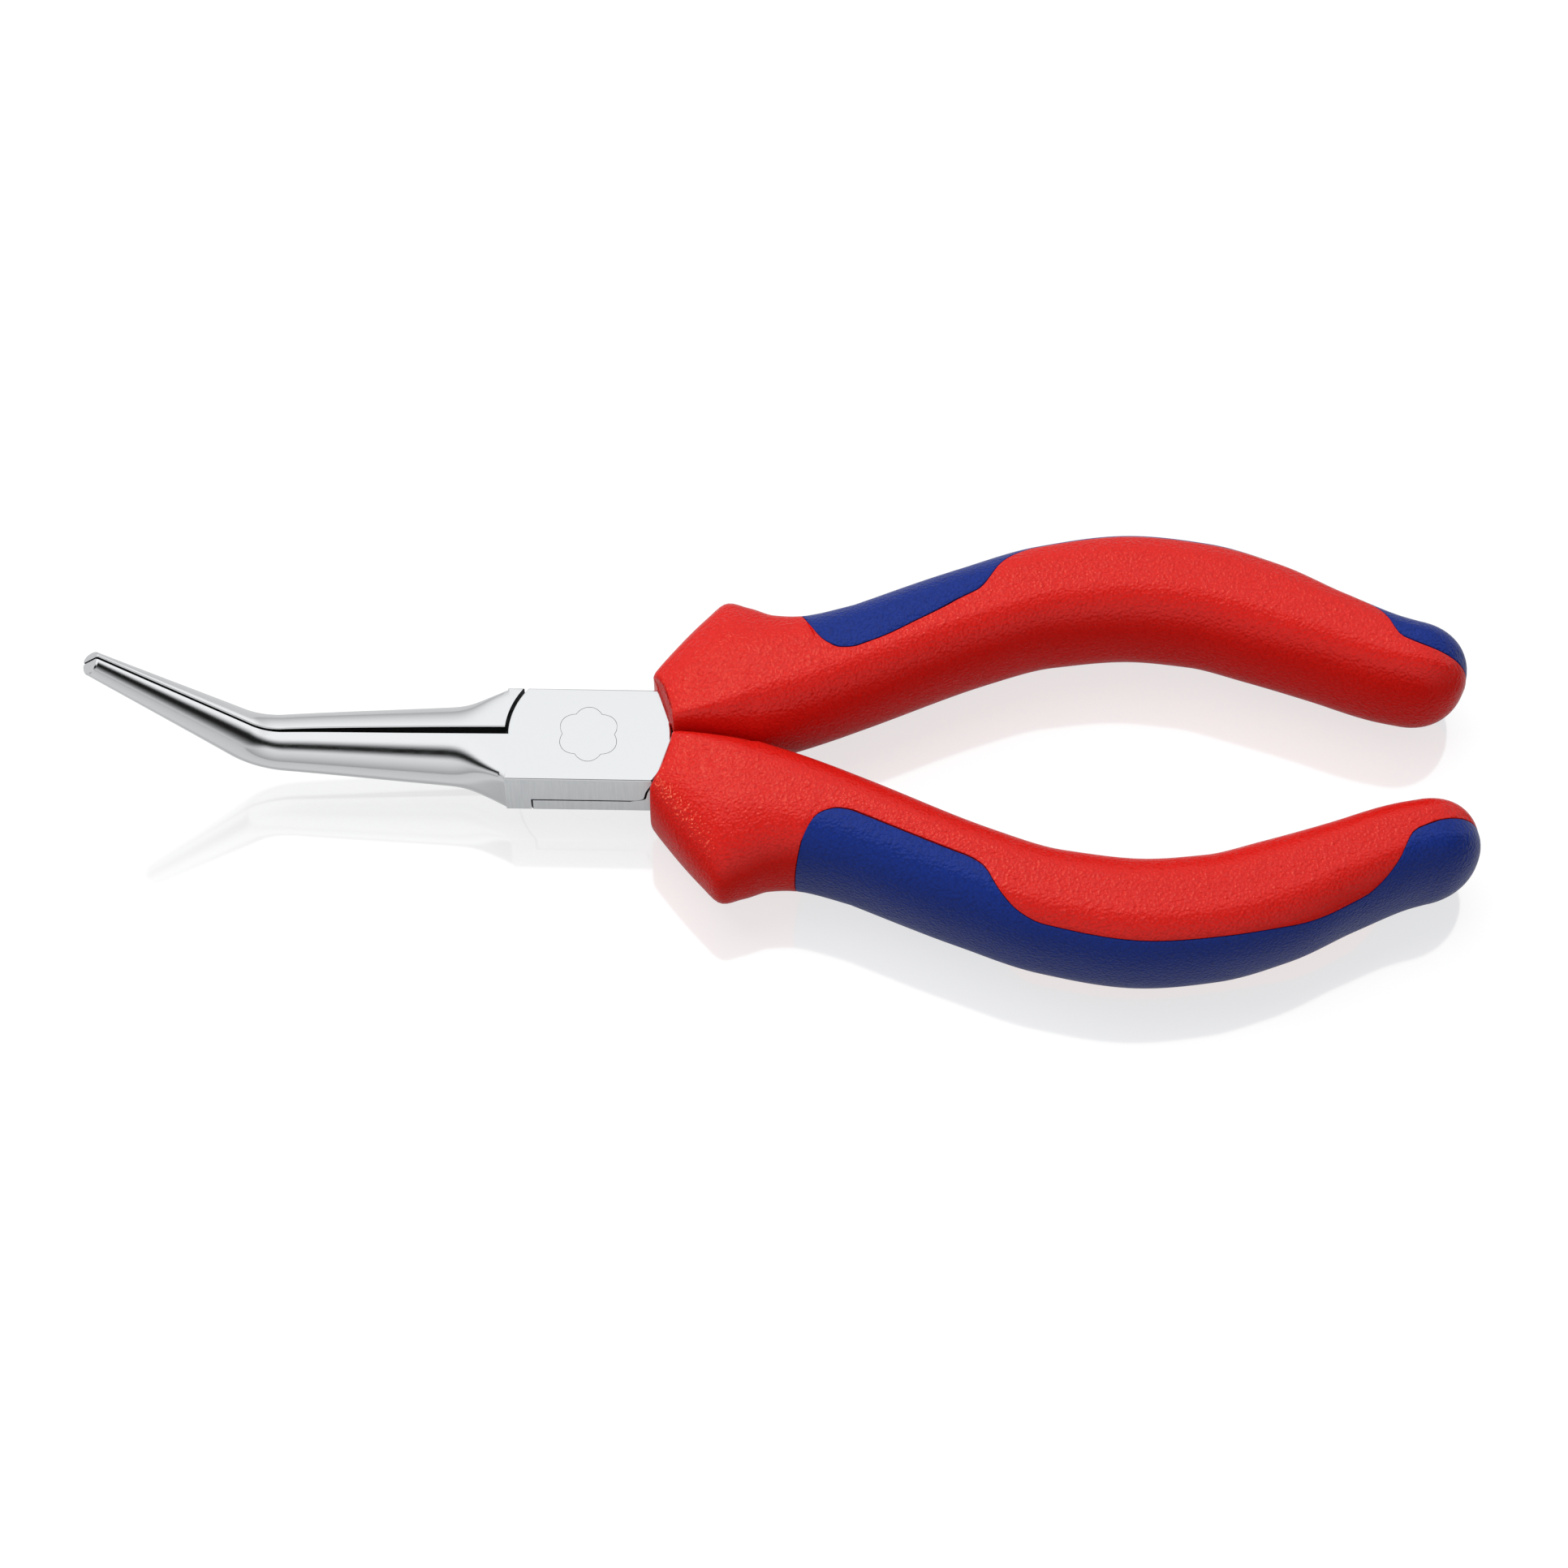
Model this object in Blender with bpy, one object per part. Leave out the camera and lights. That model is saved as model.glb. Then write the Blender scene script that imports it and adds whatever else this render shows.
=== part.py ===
"""Needle nose pliers with bent half-round jaws and two-component grips, as seven separate solids.

Lengths are in metres. +X runs from the pivot to the handles, the jaws point to -X and curve up
towards +Z, and they close on the plane Y = 0. The origin is on the pivot, at the joint's underside.
"""

import math

import bmesh
import bpy
from mathutils import Vector

MM = 0.001

# Joint: two flat heads, lapped one on the other and held by one flush rivet
JOINT_WIDTH = 12.1 * MM
JOINT_THICKNESS = 7.6 * MM
LAP_HEIGHT = 2.5 * MM
HEAD_RADIUS = 9.4 * MM
BACK_RADIUS = HEAD_RADIUS + 0.22 * MM
RECESS_RADIUS = HEAD_RADIUS + 0.4 * MM
JAW_ROOT = 9.6 * MM
SHOULDER_END = 11.5 * MM
SHOULDER_INSET = 1.4 * MM
FIT_GAP = 0.25 * MM

# Rivet: a scalloped head that can't turn in the upper lever, a round shank and a flared tail
SHANK_RADIUS = 2.5 * MM
RIVET_HEAD_RADIUS = 3.0 * MM
RIVET_HEAD_DEPTH = 1.6 * MM
RIVET_LOBES = 6
LOBE_HEIGHT = 0.55 * MM
TAIL_RADIUS = 3.4 * MM
TAIL_DEPTH = 1.1 * MM

# Jaws: half-round, tapering to the tip, bent upwards together
JAW_WIDTH = 5.3 * MM
JAW_ROUNDNESS = 2.0
ROOT_ROUNDNESS = 14.0
JAW_CLOSING = 1.6
JAW_FLARE = 8.0 * MM
FLARE_POWER = 4
JAW_STRAIGHT = 29.25 * MM
JAW_BEND_ANGLE = math.radians(47.5)
JAW_BEND_RADIUS = 8.0 * MM
JAW_TIP_LENGTH = 25.4 * MM
UPPER_TIP_WIDTH = 1.6 * MM
LOWER_TIP_WIDTH = 1.2 * MM
JAW_TIP_THICKNESS = 2.6 * MM
JAW_ROOT_GAP = 0.86 * MM
JAW_TIP_GAP = 0.24 * MM
JAW_OVERLAP = 2.0 * MM
JOIN_STEP = 0.02 * MM
# How far the middle of a jaw lies above the middle of the joint, by its share of the length
JAW_RISE = ((0.0, 0.0 * MM), (0.2, 0.33 * MM), (0.48, 0.75 * MM), (1.0, 0.45 * MM))

# Grip: an oval sleeve with flat crowns, a finger guard in front and a round end
GRIP_FRONT = 7.0 * MM
GRIP_MOUTH = GRIP_FRONT + 0.35 * MM
GRIP_FRONT_CENTRE = -3.0 * MM
GRIP_CLEARANCE = 0.4 * MM
GRIP_FRONT_RADIUS = HEAD_RADIUS + GRIP_CLEARANCE - GRIP_FRONT_CENTRE
GRIP_THICKNESS = 15.2 * MM
GRIP_GAP = 0.2 * MM
GRIP_ROUNDNESS = 2.4
GRIP_CROWN = 1.035
GRIP_TURN_START = 18.0 * MM
GRIP_TURN_END = 30.0 * MM
CAP_START = 96.5 * MM
CAP_LENGTH = 6.8 * MM
CAP_ROUNDNESS = 2.2
CAP_RINGS = (0.25, 0.5, 0.7, 0.85, 0.95, 0.995)
GRIP_END = CAP_START + CAP_LENGTH
HANDLE_BOW = 21.6 * MM

# Each table below gives a distance from the pivot and, after it, the value there.
# Handle centre line: how far it lies from the plane of symmetry
HANDLE_LINE = (
    (GRIP_FRONT, 3.7 * MM),
    (GRIP_FRONT + 5.0 * MM, 4.4 * MM),
    (GRIP_FRONT + 13.0 * MM, 7.0 * MM),
    (GRIP_FRONT + 23.0 * MM, 11.0 * MM),
    (0.435 * GRIP_END, 0.801 * HANDLE_BOW),
    (0.523 * GRIP_END, 0.94 * HANDLE_BOW),
    (0.62 * GRIP_END, HANDLE_BOW),
    (0.697 * GRIP_END, 0.963 * HANDLE_BOW),
    (0.765 * GRIP_END, 0.866 * HANDLE_BOW),
    (0.842 * GRIP_END, 0.713 * HANDLE_BOW),
    (0.915 * GRIP_END, 0.574 * HANDLE_BOW),
    (GRIP_END, 0.486 * HANDLE_BOW),
)
GRIP_HALF_WIDTH = (
    (GRIP_FRONT + 13.0 * MM, 6.7 * MM),
    (0.435 * GRIP_END, 6.4 * MM),
    (0.62 * GRIP_END, 6.9 * MM),
    (0.765 * GRIP_END, 6.6 * MM),
    (0.842 * GRIP_END, 5.8 * MM),
    (CAP_START, 5.2 * MM),
)
# The finger guard: how far it stands out beyond the half width
GUARD_REACH = (
    (GRIP_FRONT, -2.2 * MM),
    (GRIP_FRONT + 1.0 * MM, -0.7 * MM),
    (GRIP_FRONT + 6.5 * MM, 5.4 * MM),
    (GRIP_FRONT + 8.6 * MM, 6.8 * MM),
    (GRIP_FRONT + 11.4 * MM, 5.1 * MM),
    (GRIP_FRONT + 15.0 * MM, 2.7 * MM),
    (GRIP_FRONT + 21.0 * MM, 0.6 * MM),
    (GRIP_FRONT + 26.0 * MM, 0.0 * MM),
)
# How much lower the top lies at the front than along the handle
FRONT_DROP = (
    (GRIP_FRONT, 1.9 * MM),
    (GRIP_FRONT + 1.0 * MM, 1.4 * MM),
    (GRIP_FRONT + 5.0 * MM, 0.4 * MM),
    (GRIP_FRONT + 11.0 * MM, 0.0 * MM),
)

# How square the section is on the inner side: in front the two grips meet along their edges
INNER_ROUNDNESS = (
    (GRIP_FRONT, 6.0),
    (GRIP_FRONT + 3.0 * MM, 5.0),
    (GRIP_FRONT + 6.0 * MM, 3.8),
    (GRIP_FRONT + 12.0 * MM, GRIP_ROUNDNESS),
)

# Tang: the steel bar inside each grip
TANG_WIDTH = 4.8 * MM
TANG_THICKNESS = 5.2 * MM
TANG_START = 9.0 * MM
TANG_FULL = 18.0 * MM
TANG_END = 88.0 * MM

# Inlay: the softer pad let into the outer side of each grip, wide in front and at the end
INLAY_DEPTH = 1.2 * MM
INLAY_START = 26.2 * MM
INLAY_CORNER = 4.3 * MM
INLAY_SPREAD = (
    (INLAY_START, math.radians(48)),
    (INLAY_START + 0.19 * INLAY_CORNER, math.radians(66)),
    (INLAY_START + 0.49 * INLAY_CORNER, math.radians(82)),
    (INLAY_START + INLAY_CORNER, math.radians(94)),
    (0.43 * GRIP_END, math.radians(94)),
    (0.484 * GRIP_END, math.radians(57)),
    (0.527 * GRIP_END, math.radians(48)),
    (0.697 * GRIP_END, math.radians(45)),
    (0.813 * GRIP_END, math.radians(31)),
    (0.852 * GRIP_END, math.radians(30)),
    (0.886 * GRIP_END, math.radians(56)),
    (0.92 * GRIP_END, math.radians(88)),
    (GRIP_END, math.radians(95)),
)

# Facets
RING_STEP = 2.6 * MM
FINE_STEP = 0.8 * MM
INLAY_SIDES = 10
BARE_SIDES = 14
JAW_SIDES = 16
ROUND_SIDES = 48
SHARP_ANGLE = math.radians(32)

STEEL = ("chrome_plated_steel", (0.80, 0.81, 0.83), 0.16, 1.0)
RED = ("red_grip_plastic", (0.72, 0.013, 0.011), 0.45, 0.0)
BLUE = ("blue_grip_plastic", (0.016, 0.035, 0.25), 0.50, 0.0)


def clear_scene():
    for old in list(bpy.data.objects):
        bpy.data.objects.remove(old, do_unlink=True)


def finish_material(look):
    name, colour, roughness, metallic = look
    material = bpy.data.materials.get(name)
    if material is None:
        material = bpy.data.materials.new(name)
        material.use_nodes = True
        shader = material.node_tree.nodes["Principled BSDF"]
        shader.inputs["Base Color"].default_value = (*colour, 1.0)
        shader.inputs["Roughness"].default_value = roughness
        shader.inputs["Metallic"].default_value = metallic
    return material


def add_object(name, mesh_faces, look, parent, helper=False):
    """One object from a bmesh, with its faces turned outwards. A helper only cuts or joins."""
    bmesh.ops.recalc_face_normals(mesh_faces, faces=mesh_faces.faces)
    mesh = bpy.data.meshes.new(name)
    mesh_faces.to_mesh(mesh)
    mesh_faces.free()
    made = bpy.data.objects.new(name, mesh)
    bpy.context.scene.collection.objects.link(made)
    made.parent = parent
    if helper:
        made.hide_render = True
        made.display_type = "WIRE"
    else:
        mesh.materials.append(finish_material(look))
        mesh.shade_smooth()
        mesh.set_sharp_from_angle(angle=SHARP_ANGLE)
    return made


def boolean(target, other, operation):
    modifier = target.modifiers.new(other.name, "BOOLEAN")
    modifier.operation = operation
    modifier.solver = "EXACT"
    modifier.object = other


def curve(knots, x):
    """The value at x on a smooth curve through the knots that doesn't overshoot between them."""
    if x <= knots[0][0]:
        return knots[0][1]
    if x >= knots[-1][0]:
        return knots[-1][1]
    last = len(knots) - 1
    rise = [(b[1] - a[1]) / (b[0] - a[0]) for a, b in zip(knots, knots[1:])]

    def slope(i):
        if i in (0, last):
            return rise[min(i, last - 1)]
        if rise[i - 1] * rise[i] <= 0:
            return 0.0
        return 2 * rise[i - 1] * rise[i] / (rise[i - 1] + rise[i])

    i = next(i for i in range(last) if x < knots[i + 1][0])
    span = knots[i + 1][0] - knots[i][0]
    t = (x - knots[i][0]) / span
    start = (1 + 2 * t) * (1 - t) ** 2 * knots[i][1] + t * (1 - t) ** 2 * span * slope(i)
    end = t * t * (3 - 2 * t) * knots[i + 1][1] + t * t * (t - 1) * span * slope(i + 1)
    return start + end


def steps(low, high, size):
    count = max(1, round((high - low) / size))
    return [low + (high - low) * i / count for i in range(count + 1)]


def loft(rings):
    """A closed bmesh through rings of as many points each, with a flat cap at both ends."""
    shape = bmesh.new()
    rows = [[shape.verts.new(point) for point in ring] for ring in rings]
    for row, following in zip(rows, rows[1:]):
        for i in range(len(row)):
            j = (i + 1) % len(row)
            shape.faces.new((row[i], row[j], following[j], following[i]))
    shape.faces.new(rows[0])
    shape.faces.new(rows[-1])
    return shape


def prism(outline, bottom, top):
    return loft([[Vector((x, y, z)) for x, y in outline] for z in (bottom, top)])


def arc(radius, start, end, count):
    angles = [start + (end - start) * i / count for i in range(count + 1)]
    return [(radius * math.cos(a), radius * math.sin(a)) for a in angles]


def head_outline(gap):
    """Plan of a lever's head: round ends, the jaw's root at -X, -Y and a shoulder at +X, +Y."""
    half = JOINT_WIDTH / 2
    corner = math.asin(half / HEAD_RADIUS)
    seam = math.asin(gap / HEAD_RADIUS)
    shoulder = math.asin(SHOULDER_INSET / BACK_RADIUS)
    front = arc(HEAD_RADIUS, math.pi - corner, math.pi + seam, 8)
    back = arc(BACK_RADIUS, -math.asin(half / BACK_RADIUS), shoulder, 10)
    root = [(-JAW_ROOT, -gap), (-JAW_ROOT, -half)]
    end = [(SHOULDER_END, SHOULDER_INSET), (SHOULDER_END, half)]
    return front + root + back + end


def jaw_frame(u):
    """Centre and direction of a jaw at distance u from its root, in the plane Y = 0."""
    tangent = JAW_BEND_RADIUS * math.tan(JAW_BEND_ANGLE / 2)
    start = JAW_STRAIGHT - tangent
    turn = min(max((u - start) / JAW_BEND_RADIUS, 0.0), JAW_BEND_ANGLE)
    x = min(u, start) + JAW_BEND_RADIUS * math.sin(turn)
    z = JAW_BEND_RADIUS * (1 - math.cos(turn))
    beyond = max(u - start - JAW_BEND_RADIUS * JAW_BEND_ANGLE, 0.0)
    centre = Vector((-JAW_ROOT - x - beyond * math.cos(turn), 0, z + beyond * math.sin(turn)))
    return centre, turn


def jaw_length():
    tangent = JAW_BEND_RADIUS * math.tan(JAW_BEND_ANGLE / 2)
    return JAW_STRAIGHT + JAW_TIP_LENGTH - 2 * tangent + JAW_BEND_RADIUS * JAW_BEND_ANGLE


def jaw_ring(u, side, tip_width, root_gap, tip_gap):
    """Half-round section, flat on the gripping side. At the root it fills out to the square head."""
    share = min(max(u / jaw_length(), 0.0), 1.0)
    flare = max(1 - max(u, 0.0) / JAW_FLARE, 0.0) ** FLARE_POWER
    width = JAW_WIDTH + (tip_width - JAW_WIDTH) * share
    width += (JOINT_WIDTH / 2 - JAW_WIDTH) * flare - JOIN_STEP
    half = (JOINT_THICKNESS + (JAW_TIP_THICKNESS - JOINT_THICKNESS) * share) / 2 - JOIN_STEP
    closing = min(max(u / JAW_STRAIGHT, 0.0), 1.0) ** JAW_CLOSING
    gap = root_gap + (tip_gap - root_gap) * closing
    power = JAW_ROUNDNESS + (ROOT_ROUNDNESS - JAW_ROUNDNESS) * flare
    centre, turn = jaw_frame(u)
    up = Vector((math.sin(turn), 0, math.cos(turn)))
    lift = curve(JAW_RISE, share)
    ring = []
    for i in range(JAW_SIDES + 1):
        angle = math.pi * (i / JAW_SIDES - 0.5)
        across, upward = max(math.cos(angle), 0.0), math.sin(angle)
        reach = (across ** power + abs(upward) ** power) ** (-1 / power)
        y = side * (gap + (width - gap) * reach * across)
        ring.append(centre + Vector((0, y, 0)) + up * (half * reach * upward + lift))
    return ring


def jaw(side, tip_width, root_gap, tip_gap):
    tangent = JAW_BEND_RADIUS * math.tan(JAW_BEND_ANGLE / 2)
    bend = JAW_STRAIGHT - tangent
    unbent = bend + JAW_BEND_RADIUS * JAW_BEND_ANGLE
    places = [-JAW_OVERLAP] + steps(0, JAW_FLARE, JAW_FLARE / 8)
    places += steps(JAW_FLARE, bend, RING_STEP)[1:] + steps(bend, unbent, FINE_STEP)[1:]
    places += steps(unbent, jaw_length(), RING_STEP)[1:]
    return loft([jaw_ring(u, side, tip_width, root_gap, tip_gap) for u in places])


def handle_frame(x):
    """Centre of a handle at x, for the handle on +Y, and its sideways direction."""
    delta = 0.1 * MM
    slope = (curve(HANDLE_LINE, x + delta) - curve(HANDLE_LINE, x - delta)) / (2 * delta)
    turned = min(max((x - GRIP_TURN_START) / (GRIP_TURN_END - GRIP_TURN_START), 0.0), 1.0)
    angle = math.atan(slope) * turned * turned * (3 - 2 * turned)
    return Vector((x, curve(HANDLE_LINE, x), 0)), Vector((-math.sin(angle), math.cos(angle), 0))


def tang(side, grow):
    """The bar in a grip, or with grow the socket that takes it."""
    rings = []
    for x in steps(TANG_START - grow, TANG_END + grow, RING_STEP):
        centre, out = handle_frame(x)
        share = min(max((x - SHOULDER_END) / (TANG_FULL - SHOULDER_END), 0.0), 1.0)
        root_width = JOINT_WIDTH / 2 - SHOULDER_INSET
        width = root_width + (TANG_WIDTH - root_width) * share
        height = JOINT_THICKNESS + (TANG_THICKNESS - JOINT_THICKNESS) * share
        across = out * (width / 2 + grow - JOIN_STEP)
        rise = Vector((0, 0, height / 2 + grow - JOIN_STEP))
        root_centre = Vector((x, (JOINT_WIDTH / 2 + SHOULDER_INSET) / 2, 0))
        centre = root_centre.lerp(centre, share)
        top = [centre + across + rise, centre - across + rise]
        bottom = [centre - across - rise, centre + across - rise]
        rings.append([Vector((p.x, side * p.y, p.z)) for p in top + bottom])
    return loft(rings)


def socket_mouth(side, parent):
    """The room for a lever's square shoulder in the front of its grip."""
    half = JOINT_WIDTH / 2 + FIT_GAP
    inner = SHOULDER_INSET - FIT_GAP
    back = SHOULDER_END + FIT_GAP
    outline = [(0.0, side * inner), (back, side * inner), (back, side * half), (0.0, side * half)]
    top = JOINT_THICKNESS / 2 + FIT_GAP
    return add_object(f"shoulder_room_{side:+d}", prism(outline, -top, top), None, parent, helper=True)


def rivet_rings(grow, reach):
    """The rivet's rings from tail to head; with grow and reach, the hole that takes it."""
    bottom = -JOINT_THICKNESS / 2
    top = JOINT_THICKNESS / 2
    neck = bottom + TAIL_DEPTH
    seat = top - RIVET_HEAD_DEPTH
    levels = [
        (bottom, TAIL_RADIUS, 0.0),
        (neck, SHANK_RADIUS, 0.0),
        (seat - grow, SHANK_RADIUS, 0.0),
        (seat - grow, RIVET_HEAD_RADIUS, LOBE_HEIGHT),
        (top + reach, RIVET_HEAD_RADIUS, LOBE_HEIGHT),
    ]
    if reach:
        levels.insert(0, (bottom - reach, TAIL_RADIUS, 0.0))
    rings = []
    for z, radius, lobe in levels:
        ring = []
        for i in range(ROUND_SIDES):
            angle = 2 * math.pi * i / ROUND_SIDES
            r = radius + grow + lobe * abs(math.sin(RIVET_LOBES * angle / 2))
            ring.append(Vector((r * math.cos(angle), r * math.sin(angle), z)))
        rings.append(ring)
    return rings


def lever(name, side, upper, parent):
    """One lever: side is the side its jaw is on, -1 or 1, and its handle is on the other."""
    half = JOINT_THICKNESS / 2
    root_gap, tip_gap = (0.0, 0.0) if upper else (JAW_ROOT_GAP, JAW_TIP_GAP)
    tip_width = UPPER_TIP_WIDTH if upper else LOWER_TIP_WIDTH
    outline = [(x, -side * y) for x, y in head_outline(root_gap)]
    body = add_object(name, prism(outline, -half, half), STEEL, parent)
    jaw_shape = jaw(side, tip_width, root_gap, tip_gap)
    for label, shape in (("jaw", jaw_shape), ("tang", tang(-side, 0.0))):
        boolean(body, add_object(f"{name}_{label}", shape, None, parent, helper=True), "UNION")
    lap = LAP_HEIGHT - half
    reach = JOINT_THICKNESS
    levels = (-half - reach, lap + FIT_GAP / 2) if upper else (lap - FIT_GAP / 2, half + reach)
    circle = arc(RECESS_RADIUS, 0, 2 * math.pi, ROUND_SIDES)[:-1]
    recess = add_object(f"{name}_recess", prism(circle, *levels), None, parent, helper=True)
    boolean(body, recess, "DIFFERENCE")
    hole = loft(rivet_rings(FIT_GAP, reach))
    boolean(body, add_object(f"{name}_hole", hole, None, parent, helper=True), "DIFFERENCE")
    return body


def section_point(x, angle, inset, scale=1.0):
    """A point on the grip on +Y: angle 0 is its outer side and a right angle its top."""
    centre, out = handle_frame(x)
    width = curve(GRIP_HALF_WIDTH, x)
    outer = width + curve(GUARD_REACH, x) - inset
    inner = min(width, centre.y - GRIP_GAP) - inset
    half = GRIP_THICKNESS / 2 - curve(FRONT_DROP, x) - inset
    power = 2 / (GRIP_ROUNDNESS if math.cos(angle) > 0 else curve(INNER_ROUNDNESS, x))
    across = math.copysign(abs(math.cos(angle)) ** power, math.cos(angle))
    rise = math.copysign(abs(math.sin(angle)) ** power, math.sin(angle)) * GRIP_CROWN
    rise = max(-1.0, min(1.0, rise))
    reach = outer if across > 0 else inner
    return centre + (out * (reach * across) + Vector((0, 0, half * rise))) * scale


def padded_places():
    """Places of the rings from the inlay's front to the round end, as (x, scale of the section)."""
    corner = INLAY_START + INLAY_CORNER
    places = [(x, 1.0) for x in steps(INLAY_START, corner, FINE_STEP)]
    places += [(x, 1.0) for x in steps(corner, CAP_START, RING_STEP)[1:]]
    for u in CAP_RINGS:
        places.append((CAP_START + CAP_LENGTH * u, (1 - u ** CAP_ROUNDNESS) ** (1 / CAP_ROUNDNESS)))
    return places


def inset_place(place, inset):
    """Where a ring moves to when the surface goes inwards, so that the round end moves back too."""
    x, scale = place
    if x <= CAP_START:
        return place
    return CAP_START + (x - CAP_START) * (1 - inset / CAP_LENGTH), scale


def patch_angles(x, margin):
    spread = curve(INLAY_SPREAD, x) - margin
    return [spread * (2 * i / INLAY_SIDES - 1) for i in range(INLAY_SIDES + 1)]


def bare_angles(x):
    spread = curve(INLAY_SPREAD, x)
    return [spread + 2 * (math.pi - spread) * i / BARE_SIDES for i in range(1, BARE_SIDES)]


def patch_row(place, inset, margin, side):
    """The points of one ring that lie under the inlay, pushed in by inset."""
    x, scale = inset_place(place, inset)
    angles = patch_angles(place[0], margin)
    points = [section_point(x, angle, inset, scale) for angle in angles]
    return [Vector((p.x, side * p.y, p.z)) for p in points]


def bare_row(place, side):
    x, scale = place
    points = [section_point(x, angle, 0.0, scale) for angle in bare_angles(x)]
    return [Vector((p.x, side * p.y, p.z)) for p in points]


def add_strip(shape, rows):
    for row, following in zip(rows, rows[1:]):
        for i in range(len(row) - 1):
            shape.faces.new((row[i], row[i + 1], following[i + 1], following[i]))


def inlay(side):
    """The pad: a patch of the grip's surface with an inner skin and edges all round."""
    shape = bmesh.new()
    places = padded_places()
    places[0] = (INLAY_START + FIT_GAP, 1.0)
    layers = []
    for inset in (0.0, INLAY_DEPTH):
        rows = []
        for place in places:
            margin = FIT_GAP / (GRIP_THICKNESS / 2 * place[1])
            rows.append([shape.verts.new(p) for p in patch_row(place, inset, margin, side)])
        add_strip(shape, rows)
        shape.faces.new(rows[-1])
        layers.append(rows)
    outer, inner = layers
    for edge in (0, -1):
        add_strip(shape, [[row[edge] for row in outer], [row[edge] for row in inner]])
    add_strip(shape, [outer[0], inner[0]])
    add_strip(shape, [[outer[-1][0], outer[-1][-1]], [inner[-1][0], inner[-1][-1]]])
    return shape


def core(side):
    """The sleeve: the grip's whole surface, with a pocket for the inlay on its outer side."""
    shape = bmesh.new()
    front = [(x, 1.0) for x in steps(GRIP_MOUTH, INLAY_START, FINE_STEP)]
    padded = padded_places()
    places = front[:-1] + padded
    first = len(front) - 1

    def row_of(points):
        return [shape.verts.new(point) for point in points]

    skin = [row_of(patch_row(place, 0.0, 0.0, side)) for place in places[: first + 1]]
    edges = [row_of(patch_row(place, 0.0, 0.0, side)[::INLAY_SIDES]) for place in places[first + 1 :]]
    bare = [row_of(bare_row(place, side)) for place in places]
    floor = [row_of(patch_row(place, INLAY_DEPTH + FIT_GAP, 0.0, side)) for place in padded]
    rims = [(row[0], row[-1]) for row in skin] + [tuple(row) for row in edges]
    add_strip(shape, skin)
    add_strip(shape, [[rim[1], *row, rim[0]] for rim, row in zip(rims, bare)])
    add_strip(shape, floor)
    add_strip(shape, [skin[-1], floor[0]])
    for edge in (0, 1):
        add_strip(shape, [[rim[edge] for rim in rims[first:]], [row[-edge] for row in floor]])
    shape.faces.new(skin[0] + bare[0])
    shape.faces.new([rims[-1][1], *bare[-1], rims[-1][0]])
    shape.faces.new(floor[-1])
    shape.faces.new((rims[-1][0], rims[-1][1], floor[-1][-1], floor[-1][0]))
    return shape


def grip(name, side, parent):
    body = add_object(name, core(side), RED, parent)
    circle = arc(GRIP_FRONT_RADIUS, 0, 2 * math.pi, 2 * ROUND_SIDES)[:-1]
    circle = [(x + GRIP_FRONT_CENTRE, y) for x, y in circle]
    clearing = prism(circle, -GRIP_THICKNESS, GRIP_THICKNESS)
    boolean(body, add_object(f"{name}_front", clearing, None, parent, helper=True), "DIFFERENCE")
    boolean(body, socket_mouth(side, parent), "DIFFERENCE")
    socket = add_object(f"{name}_socket", tang(side, FIT_GAP), None, parent, helper=True)
    boolean(body, socket, "DIFFERENCE")
    add_object(f"{name}_inlay", inlay(side), BLUE, parent)


def build():
    clear_scene()
    pivot = bpy.data.objects.new("pivot", None)
    pivot.location = (0, 0, JOINT_THICKNESS / 2)
    bpy.context.scene.collection.objects.link(pivot)
    lever("upper_lever", -1, True, pivot)
    lever("lower_lever", 1, False, pivot)
    add_object("joint_rivet", loft(rivet_rings(0.0, 0.0)), STEEL, pivot)
    grip("upper_lever_grip", 1, pivot)
    grip("lower_lever_grip", -1, pivot)


build()
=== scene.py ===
# %% [markdown]
# # Needle nose pliers with bent jaws
# Two chrome plated steel levers cross in a lap joint, held by one flush rivet. Each handle wears a
# grip moulded in two plastics: a red sleeve, and a blue pad let into its outer side.
# The CAD model gives every piece its place and size, so each visible piece below is modelled finer,
# in the same place, and then stands for its CAD node. Lengths are written in millimetres.

# %% Load the CAD frame
import functools
import math

import bpy
from mathutils import Matrix, Vector


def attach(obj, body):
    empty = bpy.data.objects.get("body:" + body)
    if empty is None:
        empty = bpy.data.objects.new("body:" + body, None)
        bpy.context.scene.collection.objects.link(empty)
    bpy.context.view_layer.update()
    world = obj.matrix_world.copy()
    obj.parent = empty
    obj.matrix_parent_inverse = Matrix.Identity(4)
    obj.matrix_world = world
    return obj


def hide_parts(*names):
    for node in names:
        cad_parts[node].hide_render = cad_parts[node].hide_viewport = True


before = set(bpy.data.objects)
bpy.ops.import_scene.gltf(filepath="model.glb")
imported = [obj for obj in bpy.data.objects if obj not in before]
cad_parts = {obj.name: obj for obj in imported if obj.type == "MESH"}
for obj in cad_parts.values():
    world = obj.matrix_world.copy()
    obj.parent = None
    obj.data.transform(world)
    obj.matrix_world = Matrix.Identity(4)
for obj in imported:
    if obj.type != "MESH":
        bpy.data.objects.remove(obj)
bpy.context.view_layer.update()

MM = 0.001
MID_HEIGHT = 3.8
FLOOR_HEIGHT = -3.8
MERGE_DISTANCE = 0.002
SLIVER_WIDTH = 0.001
print("CAD nodes:", sorted(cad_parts))


def put(point):
    """A point in mm, measured from the middle of the joint, as a place in the scene in metres."""
    return Vector((point[0], point[1], point[2] + MID_HEIGHT)) * MM


# %% [markdown]
# ## Camera
# The view looks down on the pliers from the side of the near handle, through a long lens. The aim,
# the height and the slight roll were found by laying the CAD outline over the photograph.

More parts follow.
